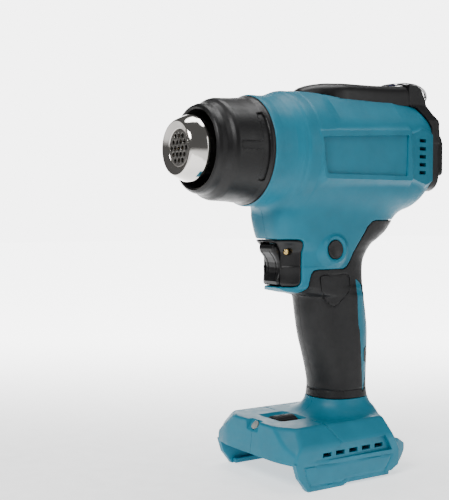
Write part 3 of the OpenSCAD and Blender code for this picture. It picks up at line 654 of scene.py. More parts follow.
# Cap: (x, bottom, top, half width, roundness below, roundness above)
cap_keys = [
    (-62, 199, 223.8, 17.6, 5, 4.6), (-50, 199, 223.1, 17.6, 5, 4.6), (-34, 199, 222.4, 17.6, 5, 4.6),
    (-14, 199, 222.2, 17.2, 5, 4.2), (-6, 199, 221.9, 16.0, 5, 3.6), (0, 200, 221.2, 13.8, 4.5, 3.2),
    (5, 202, 219.9, 11, 4, 2.8), (9.5, 205, 217.8, 7.4, 3, 2.4), (12, 207, 215.4, 3.8, 2.4, 2.4)
]
cap_loft = loft_fn(cap_keys)
CAP_SEAM_X = CAP_LOW[0]
CAP_SEAT = CAP_LOW[2]
cover_outline = [
    (CAP_SEAM_X - 0.2, CAP_SEAT + 0.1), (CAP_SEAM_X - 0.2, CAP_HIGH[2] - 0.1), (-66, 223.2), (-69.2, 222.0),
    (-71.2, 219.4), (-73.5, 214), (-76, 207), (-78.2, 203.2), (COVER_LOW[0], 201), (COVER_LOW[0], 190),
    (SHELL_REAR - GAP, 190), (SHELL_REAR - GAP, 198.6), (-69.2, 203.6), (-65.6, 210.2)
]


def cap_body_fn(x, y, z):
    """The cap's solid form; its seat on the housing rises towards the front."""
    seat = CAP_SEAT + 3.0 * np.clip((x + 12) / 14, 0, 1) ** 1.5
    return np.maximum(np.maximum(cap_loft(x, z, y), seat - z), CAP_SEAM_X - x)


COVER_HALF_TOP, COVER_FLARE = 17.6, 6.2


def cover_wedge_fn(x, y, z):
    """The rear cover's slope, wider towards its plate."""
    wide = COVER_HALF_TOP + np.clip((212 - z) / 9, 0, 1) * COVER_FLARE
    return np.maximum(polygon(cover_outline, x, z), (y - wide) * 0.85)


PANEL_LEVEL = 31.95     # y of the sunken side panel
REAR_SLOT_Z, REAR_SLOT_PITCH, REAR_SLOT_COUNT, REAR_SLOT_HIGH = 170.4, 4.65, 5, 2.1
REAR_SLOT_X = (-64.4, -57.2)
SCREW_CORE_R, SCREW_CORE_Y = 1.5, 9.6
SCREW_SINK_R, SCREW_SINK_Y = 3.1, 11


def housing_fn(side):
    """Field of one housing half; side is +1 for the half with the lock button."""
    def field(x, y, z):
        y = y * side
        grip = polygon(grip_outline, x, z)
        outer = outer_fn(x, y, z)
        panel = np.maximum(polygon(side_panel, x, z), PANEL_LEVEL - 0.4 * np.clip((-x - 30) / 16, 0, 1) - y)
        outer = cut(outer, panel, 0.3)
        if side > 0:
            outer = soft_min(outer, lock_boss_fn(x, y, z), 1.0)
        solid = soft_max(outer, -grip + 0.2, 0.8)
        solid = np.minimum(solid, np.maximum(column_core(z, x, y), grip - 1))
        solid = np.minimum(solid, np.maximum(column(z, x, y) + 0.2, stripe_fn(x, y, z)))
        solid = np.minimum(solid, foot_fn(x, y, z))
        solid = cut(solid, bores_fn(x, y, z))
        solid = cut(solid, foot_hollows_fn(x, y, z))
        solid = cut(solid, cap_body_fn(x, y, z) - GAP, 0.3)
        solid = cut(solid, cover_wedge_fn(x, y, z) - GAP, 0.3)
        # seat of the trigger surround, with a rounded lip
        solid = cut(solid, polygon(bezel_outline, x, z) - 0.3, 1.2)
        solid = cut(solid, rounded_box(x, y, z, [3, -9, 108], [22, 8.2, 132]))
        for i in range(REAR_SLOT_COUNT):
            z0 = REAR_SLOT_Z + REAR_SLOT_PITCH * i
            slot_low = [REAR_SLOT_X[0], 18, z0]
            slot_high = [REAR_SLOT_X[1], 40, z0 + REAR_SLOT_HIGH]
            solid = cut(solid, rounded_box(x, y, z, slot_low, slot_high, 0.25))
        solid = np.maximum(solid, SHELL_REAR - x)
        if side > 0:
            r = np.hypot(x - LOCK_MID[0], z - LOCK_MID[2])
            solid = cut(solid, np.maximum(r - BUTTON_R - 0.18, 9 - y), 0.5)
        for sx, sz in screw_spots:
            r = np.hypot(x - sx, z - sz)
            solid = cut(solid, np.maximum(r - SCREW_CORE_R, y - SCREW_CORE_Y))
            if side < 0:
                solid = cut(solid, np.maximum(r - SCREW_SINK_R, SCREW_SINK_Y - y), 0.4)
        return np.maximum(solid, SPLIT - y)

    return field


pad_outline = round_corners([(6.6, 113.2), (-15.6, 113.4), (-16.4, 104.5), (-4.6, 94.2), (4.8, 104)], 3.0)
GRIP_BAND_Z = 46.4
GROOVE_DEPTH = 0.4


def grip_fn(side):
    """Rubber overmould of one half, with a band near its foot and a framed pad below the lock button."""
    def field(x, y, z):
        y = y * side
        grip = polygon(grip_outline, x, z)
        solid = soft_max(outer_fn(x, y, z), grip + GAP, 0.7)
        solid = cut(solid, stripe_fn(x, y, z) - GAP, 0.3)
        # band near the lower end and outline of the pad under the lock button
        skin = column(z, x, y)
        solid = cut(solid, np.maximum(np.abs(z - GRIP_BAND_Z) - 0.3, -(skin + 0.45)), 0.2)
        pad = np.abs(polygon(pad_outline, x, z)) - 0.35
        solid = cut(solid, np.maximum(pad, -(skin + GROOVE_DEPTH)), 0.2)
        if side < 0:
            sx, sz = screw_spots[2]
            solid = cut(solid, np.maximum(np.hypot(x - sx, z - sz) - SCREW_SINK_R, 10 - y), 0.4)
        solid = cut(solid, column_core(z, x, y) - 0.05)
        return np.maximum(solid, SPLIT - y)

    return field





# ---------------------------------------------------------------- materials

class Finish:
    """Builds one procedural material: colour, roughness and bump all vary over the surface."""

    def __init__(self, name, base, rough, metallic=0.0, **sockets):
        self.material = bpy.data.materials.new(name)
        self.material.use_nodes = True
        self.tree = self.material.node_tree
        self.shader = self.tree.nodes["Principled BSDF"]
        self.place = self.tree.nodes.new("ShaderNodeTexCoord").outputs["Object"]
        self.shader.inputs["Metallic"].default_value = metallic
        for socket, value in sockets.items():
            self.shader.inputs[socket.replace("_", " ")].default_value = value
        self.vary_colour(base)
        self.vary_roughness(rough)

    def noise(self, scale, detail=3.0, stretch=None):
        texture = self.tree.nodes.new("ShaderNodeTexNoise")
        texture.inputs["Scale"].default_value = scale
        texture.inputs["Detail"].default_value = detail
        place = self.place
        if stretch:
            mapping = self.tree.nodes.new("ShaderNodeMapping")
            mapping.inputs["Scale"].default_value = stretch
            self.tree.links.new(place, mapping.inputs["Vector"])
            place = mapping.outputs["Vector"]
        self.tree.links.new(place, texture.inputs["Vector"])
        return texture.outputs["Fac"]

    def spread(self, source, low, high):
        """Maps the middle of a noise onto low to high."""
        node = self.tree.nodes.new("ShaderNodeMapRange")
        node.inputs["From Min"].default_value = 0.3
        node.inputs["From Max"].default_value = 0.7
        node.inputs["To Min"].default_value = low
        node.inputs["To Max"].default_value = high
        self.tree.links.new(source, node.inputs["Value"])
        return node.outputs["Result"]

    def vary_colour(self, base, amount=0.07, scale=90.0):
        ramp = self.tree.nodes.new("ShaderNodeValToRGB")
        ramp.color_ramp.elements[0].position, ramp.color_ramp.elements[1].position = 0.3, 0.7
        for element, factor in zip(ramp.color_ramp.elements, (1 - amount, 1 + amount)):
            element.color = [min(c * factor, 1.0) for c in base] + [1.0]
        self.tree.links.new(self.noise(scale), ramp.inputs["Fac"])
        self.tree.links.new(ramp.outputs["Color"], self.shader.inputs["Base Color"])

    def vary_roughness(self, rough, amount=0.12, scale=260.0):
        result = self.spread(self.noise(scale), rough * (1 - amount), rough * (1 + amount))
        self.tree.links.new(result, self.shader.inputs["Roughness"])

    def grain(self, scale, depth, detail=2.0, stretch=None):
        """Fine surface relief; depth is in metres."""
        bump = self.tree.nodes.new("ShaderNodeBump")
        bump.inputs["Strength"].default_value = 1.0
        bump.inputs["Distance"].default_value = depth
        self.tree.links.new(self.noise(scale, detail, stretch), bump.inputs["Height"])
        self.tree.links.new(bump.outputs["Normal"], self.shader.inputs["Normal"])
        return self

    def glow(self, colour, strength):
        self.shader.inputs["Emission Color"].default_value = list(colour) + [1.0]
        self.shader.inputs["Emission Strength"].default_value = strength
        return self


ALONG_X = (1.0, 12.0, 12.0)       # stretches a noise into lines along the barrel
TEAL = (0.010, 0.158, 0.238)
SOFT_BLACK = (0.0052, 0.0052, 0.0058)
HARD_BLACK = (0.0045, 0.0045, 0.005)

# slot, colour, roughness, metallic, grain scale, grain depth in metres, other shader inputs
finish_rows = [
    ("teal_shell", TEAL, 0.47, 0.0, 2300, 0.00003, {"Specular_IOR_Level": 0.3}),
    ("grip_rubber", SOFT_BLACK, 0.5, 0.0, 2800, 0.00004, {"Specular_IOR_Level": 0.36}),
    ("black_plastic", HARD_BLACK, 0.4, 0.0, 2400, 0.000022, {"Specular_IOR_Level": 0.4}),
    ("trigger_plastic", HARD_BLACK, 0.36, 0.0, 2400, 0.000008, {"Specular_IOR_Level": 0.4}),
    ("sleeve_plastic", (0.0052, 0.0052, 0.0056), 0.42, 0.0, 2600, 0.000035, {"Specular_IOR_Level": 0.38}),
    ("filter_plastic", (0.03, 0.03, 0.032), 0.6, 0.0, 1800, 0.00005, {}),
    ("gasket", (0.02, 0.02, 0.02), 0.7, 0.0, 1500, 0.00005, {}),
    ("tube_steel", (0.80, 0.77, 0.73), 0.075, 1.0, 900, 0.000006, {"Anisotropic": 0.25}),
    ("plate_steel", (0.55, 0.53, 0.50), 0.28, 1.0, 1500, 0.00001, {}),
    ("wire_steel", (0.62, 0.62, 0.62), 0.17, 1.0, 1800, 0.000008, {}),
    ("screw_steel", (0.34, 0.34, 0.35), 0.3, 1.0, 1600, 0.00001, {}),
    ("inner_steel", (0.5, 0.5, 0.5), 0.35, 1.0, 1400, 0.00001, {}),
    ("heater_wire", (0.42, 0.40, 0.38), 0.4, 1.0, 2500, 0.00001, {}),
    ("mica", (0.5, 0.42, 0.3), 0.45, 0.0, 700, 0.00005, {}),
    ("ceramic", (0.75, 0.73, 0.68), 0.6, 0.0, 1200, 0.00003, {}),
    ("brass_parts", (0.62, 0.44, 0.17), 0.25, 1.0, 1600, 0.000008, {}),
    ("fan_plastic", (0.03, 0.03, 0.033), 0.4, 0.0, 1600, 0.00002, {}),
    ("circuit_board", (0.01, 0.09, 0.03), 0.4, 0.0, 900, 0.00002, {}),
    ("display_body", (0.045, 0.05, 0.5), 0.25, 0.0, 900, 0.000004, {}),
    ("display_glass", (0.9, 0.9, 0.95), 0.05, 0.0, 300, 0.000004, {"Transmission_Weight": 1.0, "IOR": 1.45}),
    ("switch_plastic", (0.03, 0.03, 0.035), 0.45, 0.0, 1600, 0.00002, {}),
    ("heat_sink_metal", (0.7, 0.7, 0.72), 0.35, 1.0, 1600, 0.00001, {}),
    ("lead_insulation", (0.5, 0.02, 0.02), 0.45, 0.0, 1600, 0.00002, {}),
    ("lamp_lens", (0.6, 0.62, 0.6), 0.1, 0.0, 1200, 0.00001, {"Transmission_Weight": 0.6}),
    ("dial_rubber", (0.016, 0.016, 0.017), 0.5, 0.0, 2400, 0.00003, {}),
]
BRUSHED = ("tube_steel",)         # slots whose grain runs along the barrel
finishes = {}
for slot, base, rough, metallic, scale, depth, sockets in finish_rows:
    stretch = ALONG_X if slot in BRUSHED else None
    finishes[slot] = Finish(slot, base, rough, metallic, **sockets).grain(scale, depth, stretch=stretch)
finishes["display_body"].glow((0.09, 0.1, 1.0), 0.9)
print_white = Finish("print_white", (0.62, 0.64, 0.65), 0.5).grain(2400, 0.00001)
screen_ink = Finish("screen_ink", (0.012, 0.014, 0.07), 0.3).grain(900, 0.000004)


def place(obj, body, slot, *nodes, finish=None):
    """Gives a piece its material, its body and the CAD nodes that it stands for."""
    obj.data.materials.clear()
    obj.data.materials.append((finish or finishes[slot]).material)
    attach(obj, body)
    if nodes:
        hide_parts(*nodes)
    return obj


# ---------------------------------------------------------------- shells and grips

SHELL_STEP = 0.72
for label, side in (("left", 1), ("right", -1)):
    low_y, high_y = (-0.8, FOOT_HALF + 1.6) if side > 0 else (-FOOT_HALF - 1.6, 0.8)
    shell = shaped(label + "_housing_shell", housing_fn(side), [SHELL_REAR - 1.5, low_y, -1.5],
                   [SLEEVE_X + 1.5, high_y, HOUSING_HIGH[2] + 1.5], SHELL_STEP, keep=0.62)
    place(shell, "tool", "teal_shell", label + "_housing")
    low_y, high_y = (-0.8, 22.5) if side > 0 else (-22.5, 0.8)
    grip = shaped(label + "_grip_cover", grip_fn(side), [-63, low_y, GRIP_FOOT - 1.5], [36, high_y, 146],
                  0.62, keep=0.7)
    place(grip, "tool", "grip_rubber", label + "_grip")


# ---------------------------------------------------------------- top cap, display and keys

CAP_WALL, CAP_ROOF = 2.4, 2.6
cap_inner = loft_fn([(x, low + CAP_WALL, high - CAP_ROOF, wide - CAP_WALL, n, m)
                     for x, low, high, wide, n, m in cap_keys])
KEY_MID_Y = abs(KEY_MID[1])
DISH_Z = 221.7          # the display sits in a shallow dish down to this height


def cap_fn(x, y, z):
    side = np.abs(y)
    solid = cap_body_fn(x, side, z)
    inner = np.maximum(cap_inner(x, z, side), slab(x, CAP_SEAM_X + 2, 6))
    solid = cut(solid, inner)
    window = rounded_rect(x, y, WINDOW_LOW[:2] - 0.2, WINDOW_HIGH[:2] + 0.2, 2.0)
    dish = rounded_rect(x, y, WINDOW_LOW[:2] - 1.6, WINDOW_HIGH[:2] + 1.6, 3.0)
    solid = cut(solid, np.maximum(window, WINDOW_LOW[2] - z))
    solid = cut(solid, np.maximum(dish, DISH_Z - z), 0.4)
    key_half = (KEY_HIGH[1] - KEY_LOW[1]) / 2 + 0.25
    keys = rounded_rect(x, side, [KEY_LOW[0] - 0.25, KEY_MID_Y - key_half],
                        [KEY_HIGH[0] + 0.25, KEY_MID_Y + key_half], 1.6)
    return cut(solid, np.maximum(keys, KEY_LOW[2] - 0.6 - z), 0.3)


cap = shaped("top_cap_cover", cap_fn, [CAP_SEAM_X - 1, -19, CAP_SEAT - 1], [13.5, 19, CAP_HIGH[2] + 1],
             0.5, keep=0.8)
place(cap, "tool", "black_plastic", "top_cap")


def glass_fn(x, y, z):
    edge = rounded_rect(x, y, WINDOW_LOW[:2], WINDOW_HIGH[:2], 1.8)
    return soft_max(edge, slab(z, WINDOW_LOW[2] + 0.1, WINDOW_HIGH[2] - 0.15), 0.5)


screen = shaped("display_screen", glass_fn, WINDOW_LOW - 1, WINDOW_HIGH + 1, 0.3, keep=0.5)
place(screen, "tool", "display_body", "display_window")

SCREEN_TOP = WINDOW_HIGH[2] - 0.14
INK_T = 0.10


def prisms(name, outlines, bottom, top):
    """Low flat shapes from closed outlines, all in one mesh."""
    vertices, faces = [], []
    for outline in outlines:
        first, n = len(vertices), len(outline)
        vertices += [(x, y, bottom) for x, y in outline] + [(x, y, top) for x, y in outline]
        faces.append([first + i for i in reversed(range(n))])
        faces.append([first + n + i for i in range(n)])
        for i in range(n):
            j = (i + 1) % n
            faces.append([first + i, first + j, first + n + j, first + n + i])
    mesh = bpy.data.meshes.new(name)
    mesh.from_pydata([tuple(c * MM for c in v) for v in vertices], [], faces)
    return finish_object(name, mesh, 30)


def bar(x0, y0, x1, y1, width):
    """A straight stroke as a closed outline."""
    d = np.array([x1 - x0, y1 - y0], float)
    n = np.array([-d[1], d[0]]) / np.hypot(*d) * width / 2
    a, b = np.array([x0, y0]), np.array([x1, y1])
    return [tuple(a - n), tuple(b - n), tuple(b + n), tuple(a + n)]


def ring(x, y, radius, width, turns=16, start=0.0, stop=2 * math.pi):
    """An arc or ring as a row of strokes."""
    angles = np.linspace(start, stop, turns + 1)
    points = [(x + radius * math.cos(a), y + radius * math.sin(a)) for a in angles]
    return [bar(*p, *q, width) for p, q in zip(points, points[1:])]


SEGMENTS = {"5": "afgcd", "0": "abcdef", "C": "afed"}


def digit(char, x, y, high, wide, width):
    """A seven-segment character; it reads with its top towards the nozzle."""
    top, middle, bottom = x + high, x + high / 2, x
    left, right, inset = y + wide, y, width * 0.55
    strokes = {
        "a": (top, left - inset, top, right + inset), "d": (bottom, left - inset, bottom, right + inset),
        "g": (middle, left - inset, middle, right + inset), "f": (top - inset, left, middle + inset, left),
        "b": (top - inset, right, middle + inset, right), "e": (middle - inset, left, bottom + inset, left),
        "c": (middle - inset, right, bottom + inset, right),
    }
    return [bar(*strokes[s], width) for s in SEGMENTS[char]]


screen_marks = []
for index, char in enumerate("550"):
    screen_marks += digit(char, -40.5, 1.9 - 4.1 * index, 6.6, 2.7, 0.75)
screen_marks += digit("C", -37.4, -8.6, 2.6, 1.5, 0.42) + ring(-34.6, -5.6, 0.5, 0.3, 8)
for blade in range(4):
    turn = blade * math.pi / 2 + 0.4
    blade_x, blade_y = -28.2 + 1.2 * math.cos(turn), 6.2 + 1.2 * math.sin(turn)
    screen_marks += ring(blade_x, blade_y, 1.0, 0.6, 8, turn, turn + 3.6)
for row in range(3):
    wave = [(-30.2 + 0.5 * math.sin(k * 1.1) + row * 1.7, 1.9 - k * 0.55) for k in range(8)]
    screen_marks += [bar(*p, *q, 0.45) for p, q in zip(wave, wave[1:])]
battery = [(-30.6, -4.2), (-26.2, -4.2), (-26.2, -7.4), (-30.6, -7.4), (-30.6, -4.2)]
screen_marks += [bar(*p, *q, 0.36) for p, q in zip(battery, battery[1:])]
screen_marks += [bar(-30, -5.0, -26.9, -5.0, 0.5), bar(-30, -6.1, -26.9, -6.1, 0.5)]
screen_marks += [bar(-29.2, -7.9, -27.6, -7.9, 0.5)]
screen_marks += [bar(-44.6, 7.6, -44.6, -7.6, 0.36)]
screen_marks += [bar(-47.2, 6.6 - 2.6 * k, -47.2, 5.0 - 2.6 * k, 0.9) for k in range(5)]
marks = prisms("display_marks", screen_marks, SCREEN_TOP - 0.06, SCREEN_TOP + INK_T)
place(marks, "tool", "display_body", finish=screen_ink)

for name, side in (("up_key", 1), ("down_key", -1)):
    low, high = box_mm(name)
    middle = (low + high) / 2

    def key_fn(x, y, z, low=low, high=high, middle=middle):
        body = rounded_box(x, y, z, low, high - [0, 0, 0.05], 0.9)
        dish = np.hypot(np.hypot(x - middle[0], y - middle[1]), z - high[2] - 13.6) - 14.0
        return cut(body, dish, 0.3)

    key = shaped(name + "_cap", key_fn, low - 1, high + 1, 0.3, keep=0.6)
    place(key, name, "black_plastic", name)
    point = 1.5 if name == "up_key" else -1.5
    arrow = [bar(middle[0] - point * 0.5, middle[1] - 1.5, middle[0] + point * 0.6, middle[1], 0.55),
             bar(middle[0] + point * 0.6, middle[1], middle[0] - point * 0.5, middle[1] + 1.5, 0.55)]
    sign = prisms(name + "_sign", arrow, high[2] - 0.9, high[2] - 0.18)
    place(sign, name, "black_plastic", finish=print_white)


# ---------------------------------------------------------------- rear cover and air inlet

PLATE_X = COVER_LOW[0]
LUG_PIVOT = (-77.0, 212.0)
LUG_R, LUG_HALF, LUG_BORE_R = 2.3, 3.8, 1.15
AIR_WAY_R = 13.0
CAP_SLOTS, CAP_SLOT_Z, CAP_SLOT_PITCH, CAP_SLOT_HIGH = 5, 172.9, 4.15, 2.1
INLET_LEAN_Z, INLET_LEAN = 190, 0.42    # above this height the inlet cap's rear face leans forward
INLET_WALL = 2.0
cover_inner = [
    (CAP_SEAM_X + 1, 214), (CAP_SEAM_X + 1, 221.6), (-65.6, 221.2), (-69.2, 218.4), (-71.4, 213),
    (-68.4, 209.4), (-64.4, 213.6)
]
lug_web = [(-76.9, 214), (-72, 214), (-73, 205), (-76.9, 210)]


def cover_fn(x, y, z):
    side = np.abs(y)
    wedge = np.maximum(cover_wedge_fn(x, side, z), SHELL_REAR - 6 - x)
    wedge = cut(wedge, np.maximum(polygon(cover_inner, x, z), side - 15.2))
    plate = rounded_rect(y, z, [-COVER_HIGH[1], COVER_LOW[2]], [COVER_HIGH[1], 203.2], 9)
    plate = soft_max(plate, slab(x, PLATE_X, SHELL_REAR - GAP), 1.0)
    around_pivot = np.hypot(x - LUG_PIVOT[0], z - LUG_PIVOT[1])
    lug = np.maximum(around_pivot - LUG_R, side - LUG_HALF)
    web = np.maximum(polygon(lug_web, x, z), side - LUG_HALF)
    solid = np.minimum(soft_min(wedge, plate, 1.2), np.minimum(lug, web))
    solid = cut(solid, np.hypot(y, z - AXIS_Z) - AIR_WAY_R)
    bore = np.maximum(around_pivot - LUG_BORE_R, 1.0 - side)
    seats = np.maximum(np.hypot(side - 18, z - 168) - 1.3, x - SHELL_REAR - 2)
    return cut(cut(solid, bore), seats)


cover = shaped("rear_cover_plate", cover_fn, [PLATE_X - 1.5, -26, COVER_LOW[2] - 1.5],
               [CAP_SEAM_X + 1.5, 26, COVER_HIGH[2] + 1.5], 0.5, keep=0.7)
place(cover, "tool", "black_plastic", "rear_cover")


def inlet_fn(x, y, z):
    side = np.abs(y)
    lean = np.maximum(z - INLET_LEAN_Z, 0) * INLET_LEAN
    slope = np.maximum(INLET_LOW[0] + lean - x, x - PLATE_X + GAP)
    outline = rounded_rect(y, z, [-INLET_HIGH[1], INLET_LOW[2]], [INLET_HIGH[1], INLET_HIGH[2]], 3.2)
    taper = (PLATE_X - x) * 0.07
    solid = soft_max(outline + taper, slope, 1.8)
    inner = np.maximum(outline + taper + INLET_WALL, slab(x, INLET_LOW[0] + 2.2 + lean, 0))
    solid = cut(solid, inner)
    for i in range(CAP_SLOTS):
        z0 = CAP_SLOT_Z + CAP_SLOT_PITCH * i
        slot_low, slot_high = [INLET_LOW[0] - 2, 1.2, z0], [PLATE_X - 4.2, 13.4, z0 + CAP_SLOT_HIGH]
        solid = cut(solid, rounded_box(x, side, z, slot_low, slot_high, 0.5), 0.4)
    return solid


inlet = shaped("air_inlet_cap", inlet_fn, [INLET_LOW[0] - 1.2, -20, INLET_LOW[2] - 1.5],
               [PLATE_X + 1, 20, INLET_HIGH[2] + 1.5], 0.45, keep=0.8)
place(inlet, "tool", "black_plastic", "inlet_cap")


# ---------------------------------------------------------------- heat sleeve, tube and outlet

sleeve_outline = [
    (SLEEVE_X - 6, 22.4), (SLEEVE_X - 6, 26), (SLEEVE_X, 26), (SLEEVE_X, 29.4), (47.4, 29.5),
    (50, 28.6), (57, 27.9), (67, 27.4), (68.6, 26.9), (70.2, 25.6), (72.6, 24.3), (75.6, 23.9),
    (77.2, 23.2), (78, 22), (77.4, 21.0), (74, 20.8), (65.2, 20.8), (65.2, 17.8), (62.2, 17.8),
    (62.2, 22.4)
]
RECESS_DEPTH = 0.9


def sleeve_fn(x, y, z):
    r = radius_yz(y, z)
    solid = polygon(sleeve_outline, x, r)
    around = np.arctan2(np.abs(y), z - AXIS_Z) * 28      # arc length from the top, on either side
    bar_up = rounded_rect(x, around, [48.9, 24], [52.6, 62], 1.2)
    bar_along = rounded_rect(x, around, [50, 40.4], [65.8, 45.0], 1.2)
    recess = np.maximum(np.minimum(bar_up, bar_along), 28.9 - (x - 47.4) * 0.09 - RECESS_DEPTH - r)
    return cut(solid, recess, 0.5)


sleeve = shaped("heat_sleeve_shell", sleeve_fn, [SLEEVE_X - 7, -31, AXIS_Z - 31], [80, 31, AXIS_Z + 31],
                0.6, keep=0.7)
place(sleeve, "tool", "sleeve_plastic", "heat_sleeve")

tube_outline = round_corners([
    (15, 16.9), (15, TUBE_R - 0.4), (65.4, TUBE_R - 0.4), (65.6, TUBE_R), (80.8, TUBE_R),
    (82.8, 17.55), (84.9, 16.75), (87.2, 15.7), (88.6, 14.9), (MUZZLE_X, 14.1),
    (MUZZLE_X - 0.2, 13.6), (88.7, 12.6), (87.9, 11), (87.5, 9.95), (85.6, 9.95), (83.9, 14.4),
    (80.8, 16.3), (78, 16.9)
], 0.5, steps=3)
place(lathe("nozzle_tube_wall", tube_outline, segments=160), "tool", "tube_steel", "nozzle_tube")

PLATE_R, HOLE_R, HOLE_PITCH = 9.9, 1.25, 3.7
OUTLET_LOW, OUTLET_HIGH = box_mm("outlet_plate")


def outlet_fn(x, y, z):
    r = radius_yz(y, z)
    solid = soft_max(r - PLATE_R, slab(x, OUTLET_LOW[0], OUTLET_HIGH[0]), 0.3)
    row_gap = HOLE_PITCH * math.sqrt(3) / 2
    for row in range(-2, 3):
        for column_index in range(-2, 3):
            cy = (column_index + 0.5 * (row % 2)) * HOLE_PITCH
            cz = AXIS_Z + row * row_gap
            if math.hypot(cy, cz - AXIS_Z) < PLATE_R - HOLE_R - 0.4:
                solid = cut(solid, np.hypot(y - cy, z - cz) - HOLE_R, 0.2)
    return solid


outlet = shaped("outlet_grille", outlet_fn, OUTLET_LOW - 1, OUTLET_HIGH + 1, 0.3, keep=0.7)
place(outlet, "tool", "plate_steel", "outlet_plate")


# ---------------------------------------------------------------- trigger, its surround and the lock button

trigger_outline = [
    (31.2, 130.4), (31.6, 128.4), (31, 126.2), (28.6, 123.4), (27.2, 120.6), (26.7, 117.6),
    (27, 114.6), (27.9, 112), (28.4, 110), (27.6, 108.3), (25.6, 107.7), (24, 107.9), (22.2, 109.6),
    (20.8, 112.6), (20, 118), (20, 129.4), (21, 130.4)
]
TRIGGER_HALF, TRIGGER_GAP = 7.0, 0.45
PIN_BORE_R = 1.6


def trigger_fn(x, y, z):
    side = np.abs(y)
    solid = soft_max(polygon(trigger_outline, x, z), side - TRIGGER_HALF + 0.1, 1.8)
    groove = np.maximum(np.abs(side - 3.6) - 0.3, -(polygon(trigger_outline, x, z) + 0.35))
    solid = cut(solid, np.maximum(groove, slab(z, 111, 127)), 0.2)
    return cut(solid, np.hypot(x - PIN_MID[0], z - PIN_MID[2]) - PIN_BORE_R)


trigger = shaped("trigger_lever", trigger_fn, [18.5, -8.5, 106], [33.5, 8.5, 132], 0.35, keep=0.8)
place(trigger, "trigger", "trigger_plastic", "trigger")
PIN_HEAD_R, PIN_HEAD_Y = 1.9, 11.0


def bezel_fn(x, y, z):
    side = np.abs(y)
    outer = outer_fn(x, side, z) - 0.25
    solid = soft_max(outer, polygon(bezel_outline, x, z) + 0.2, 1.4)
    mouth = rounded_box(x, y, z, [0, -TRIGGER_HALF - TRIGGER_GAP, 100],
                        [60, TRIGGER_HALF + TRIGGER_GAP, 131.6], 1.2)
    solid = cut(solid, mouth, 0.8)
    solid = cut(solid, column_core(z, x, side) + 0.5)
    around_pin = np.hypot(x - PIN_MID[0], z - PIN_MID[2])
    solid = cut(solid, np.maximum(around_pin - PIN_HEAD_R - 0.15, 9.6 - side))
    return cut(solid, around_pin - PIN_BORE_R)


bezel = shaped("trigger_surround", bezel_fn, [BEZEL_X - 1, -21, BEZEL_LOW - 1.5],
               [33.5, 21, BEZEL_HIGH + 1.5], 0.45, keep=0.8)
place(bezel, "tool", "black_plastic", "trigger_bezel")


def pin_head_fn(x, y, z):
    around_pin = np.hypot(x - PIN_MID[0], z - PIN_MID[2])
    return soft_max(around_pin - PIN_HEAD_R, slab(np.abs(y), 9.8, PIN_HEAD_Y), 0.8)


for label, low_y, high_y in (("left", 9.0, 12.0), ("right", -12.0, -9.0)):
    pin_head = shaped(label + "_trigger_pin_head", pin_head_fn, [PIN_MID[0] - 3, low_y, PIN_MID[2] - 3],
                      [PIN_MID[0] + 3, high_y, PIN_MID[2] + 3], 0.25, keep=0.7)
    place(pin_head, "tool", "brass_parts")


def button_fn(x, y, z):
    r = np.hypot(x - LOCK_MID[0], z - LOCK_MID[2])
    disc = soft_max(r - BUTTON_R, slab(y, LOCK_HIGH[1] - 5.2, LOCK_HIGH[1]), 1.0)
    dish = np.sqrt(r**2 + (y - LOCK_HIGH[1] - 21.3) ** 2) - 22.0
    stem = np.maximum(r - 3, slab(y, LOCK_LOW[1], LOCK_HIGH[1] - 4))
    return np.minimum(cut(disc, dish, 0.4), stem)


button = shaped("lock_button_disc", button_fn, LOCK_LOW - 1, LOCK_HIGH + 1, 0.35, keep=0.7)
place(button, "lock_button", "black_plastic", "lock_button")


# ---------------------------------------------------------------- hanging ring, dial and lamp

RING_R = 0.9
ring_points = [
    (-77, 1.3, 212), (-77.1, 3.6, 212), (-78.6, 5.6, 212.9), (-81.2, 7.6, 215.2),
    (-82.6, 8.5, 218.4), (-81.8, 8.5, 221.2), (-79.2, 8.5, 223.2), (-76, 8.5, 224.4),
    (-71, 8.5, 225.2), (-65, 8.3, 225.3), (-61.2, 7.0, 225.0), (-59.6, 4.2, 224.9),
    (-59.2, 1.4, 224.9)
]
ring_points += [(x, -y, z) for x, y, z in reversed(ring_points)]
hanger = tube("hanging_wire", smooth_path(ring_points, 220), RING_R, sides=20)
place(hanger, "hanging_ring", "wire_steel", "hanging_ring")

DIAL_R = (DIAL_HIGH[2] - DIAL_LOW[2]) / 2
DIAL_RIBS = 30


def dial_fn(x, y, z):
    r = np.hypot(y, z - DIAL_MID[2])
    turn = np.arctan2(y, z - DIAL_MID[2])
    rib = 0.42 * np.clip(0.5 + 1.4 * np.cos(turn * DIAL_RIBS), 0, 1)
    solid = soft_max((r - DIAL_R + 0.42 - rib) * 0.8, slab(x, DIAL_LOW[0], DIAL_HIGH[0]), 1.2)
    return cut(solid, r - 2.2)


dial = shaped("dial_roller", dial_fn, DIAL_LOW - 1, DIAL_HIGH + 1, 0.3, keep=0.8)
place(dial, "dial", "dial_rubber", "dial_wheel")


def lamp_fn(x, y, z):
    along, across = lamp_axes(x, z)
    r = np.hypot(across, y)
    dome = np.sqrt(r**2 + (along + 4.2) ** 2) - 5.2
    return np.maximum(soft_max(r - 2.5, dome, 0.3), -3.0 - along)


LAMP_LOW, LAMP_HIGH = box_mm("foot_lamp_lens")
lamp = shaped("foot_lamp_dome", lamp_fn, LAMP_LOW - 1, LAMP_HIGH + 1, 0.25, keep=0.8)
place(lamp, "tool", "lamp_lens", "foot_lamp_lens")


# ---------------------------------------------------------------- CAD nodes that stay

for part in frame["record"]["subparts"]:
    node = frame["nodes"][part["node"]]
    material = finishes[part["material_slot"]].material
    node.data.materials.clear()
    node.data.materials.append(material)


# ---------------------------------------------------------------- floor, lights and camera

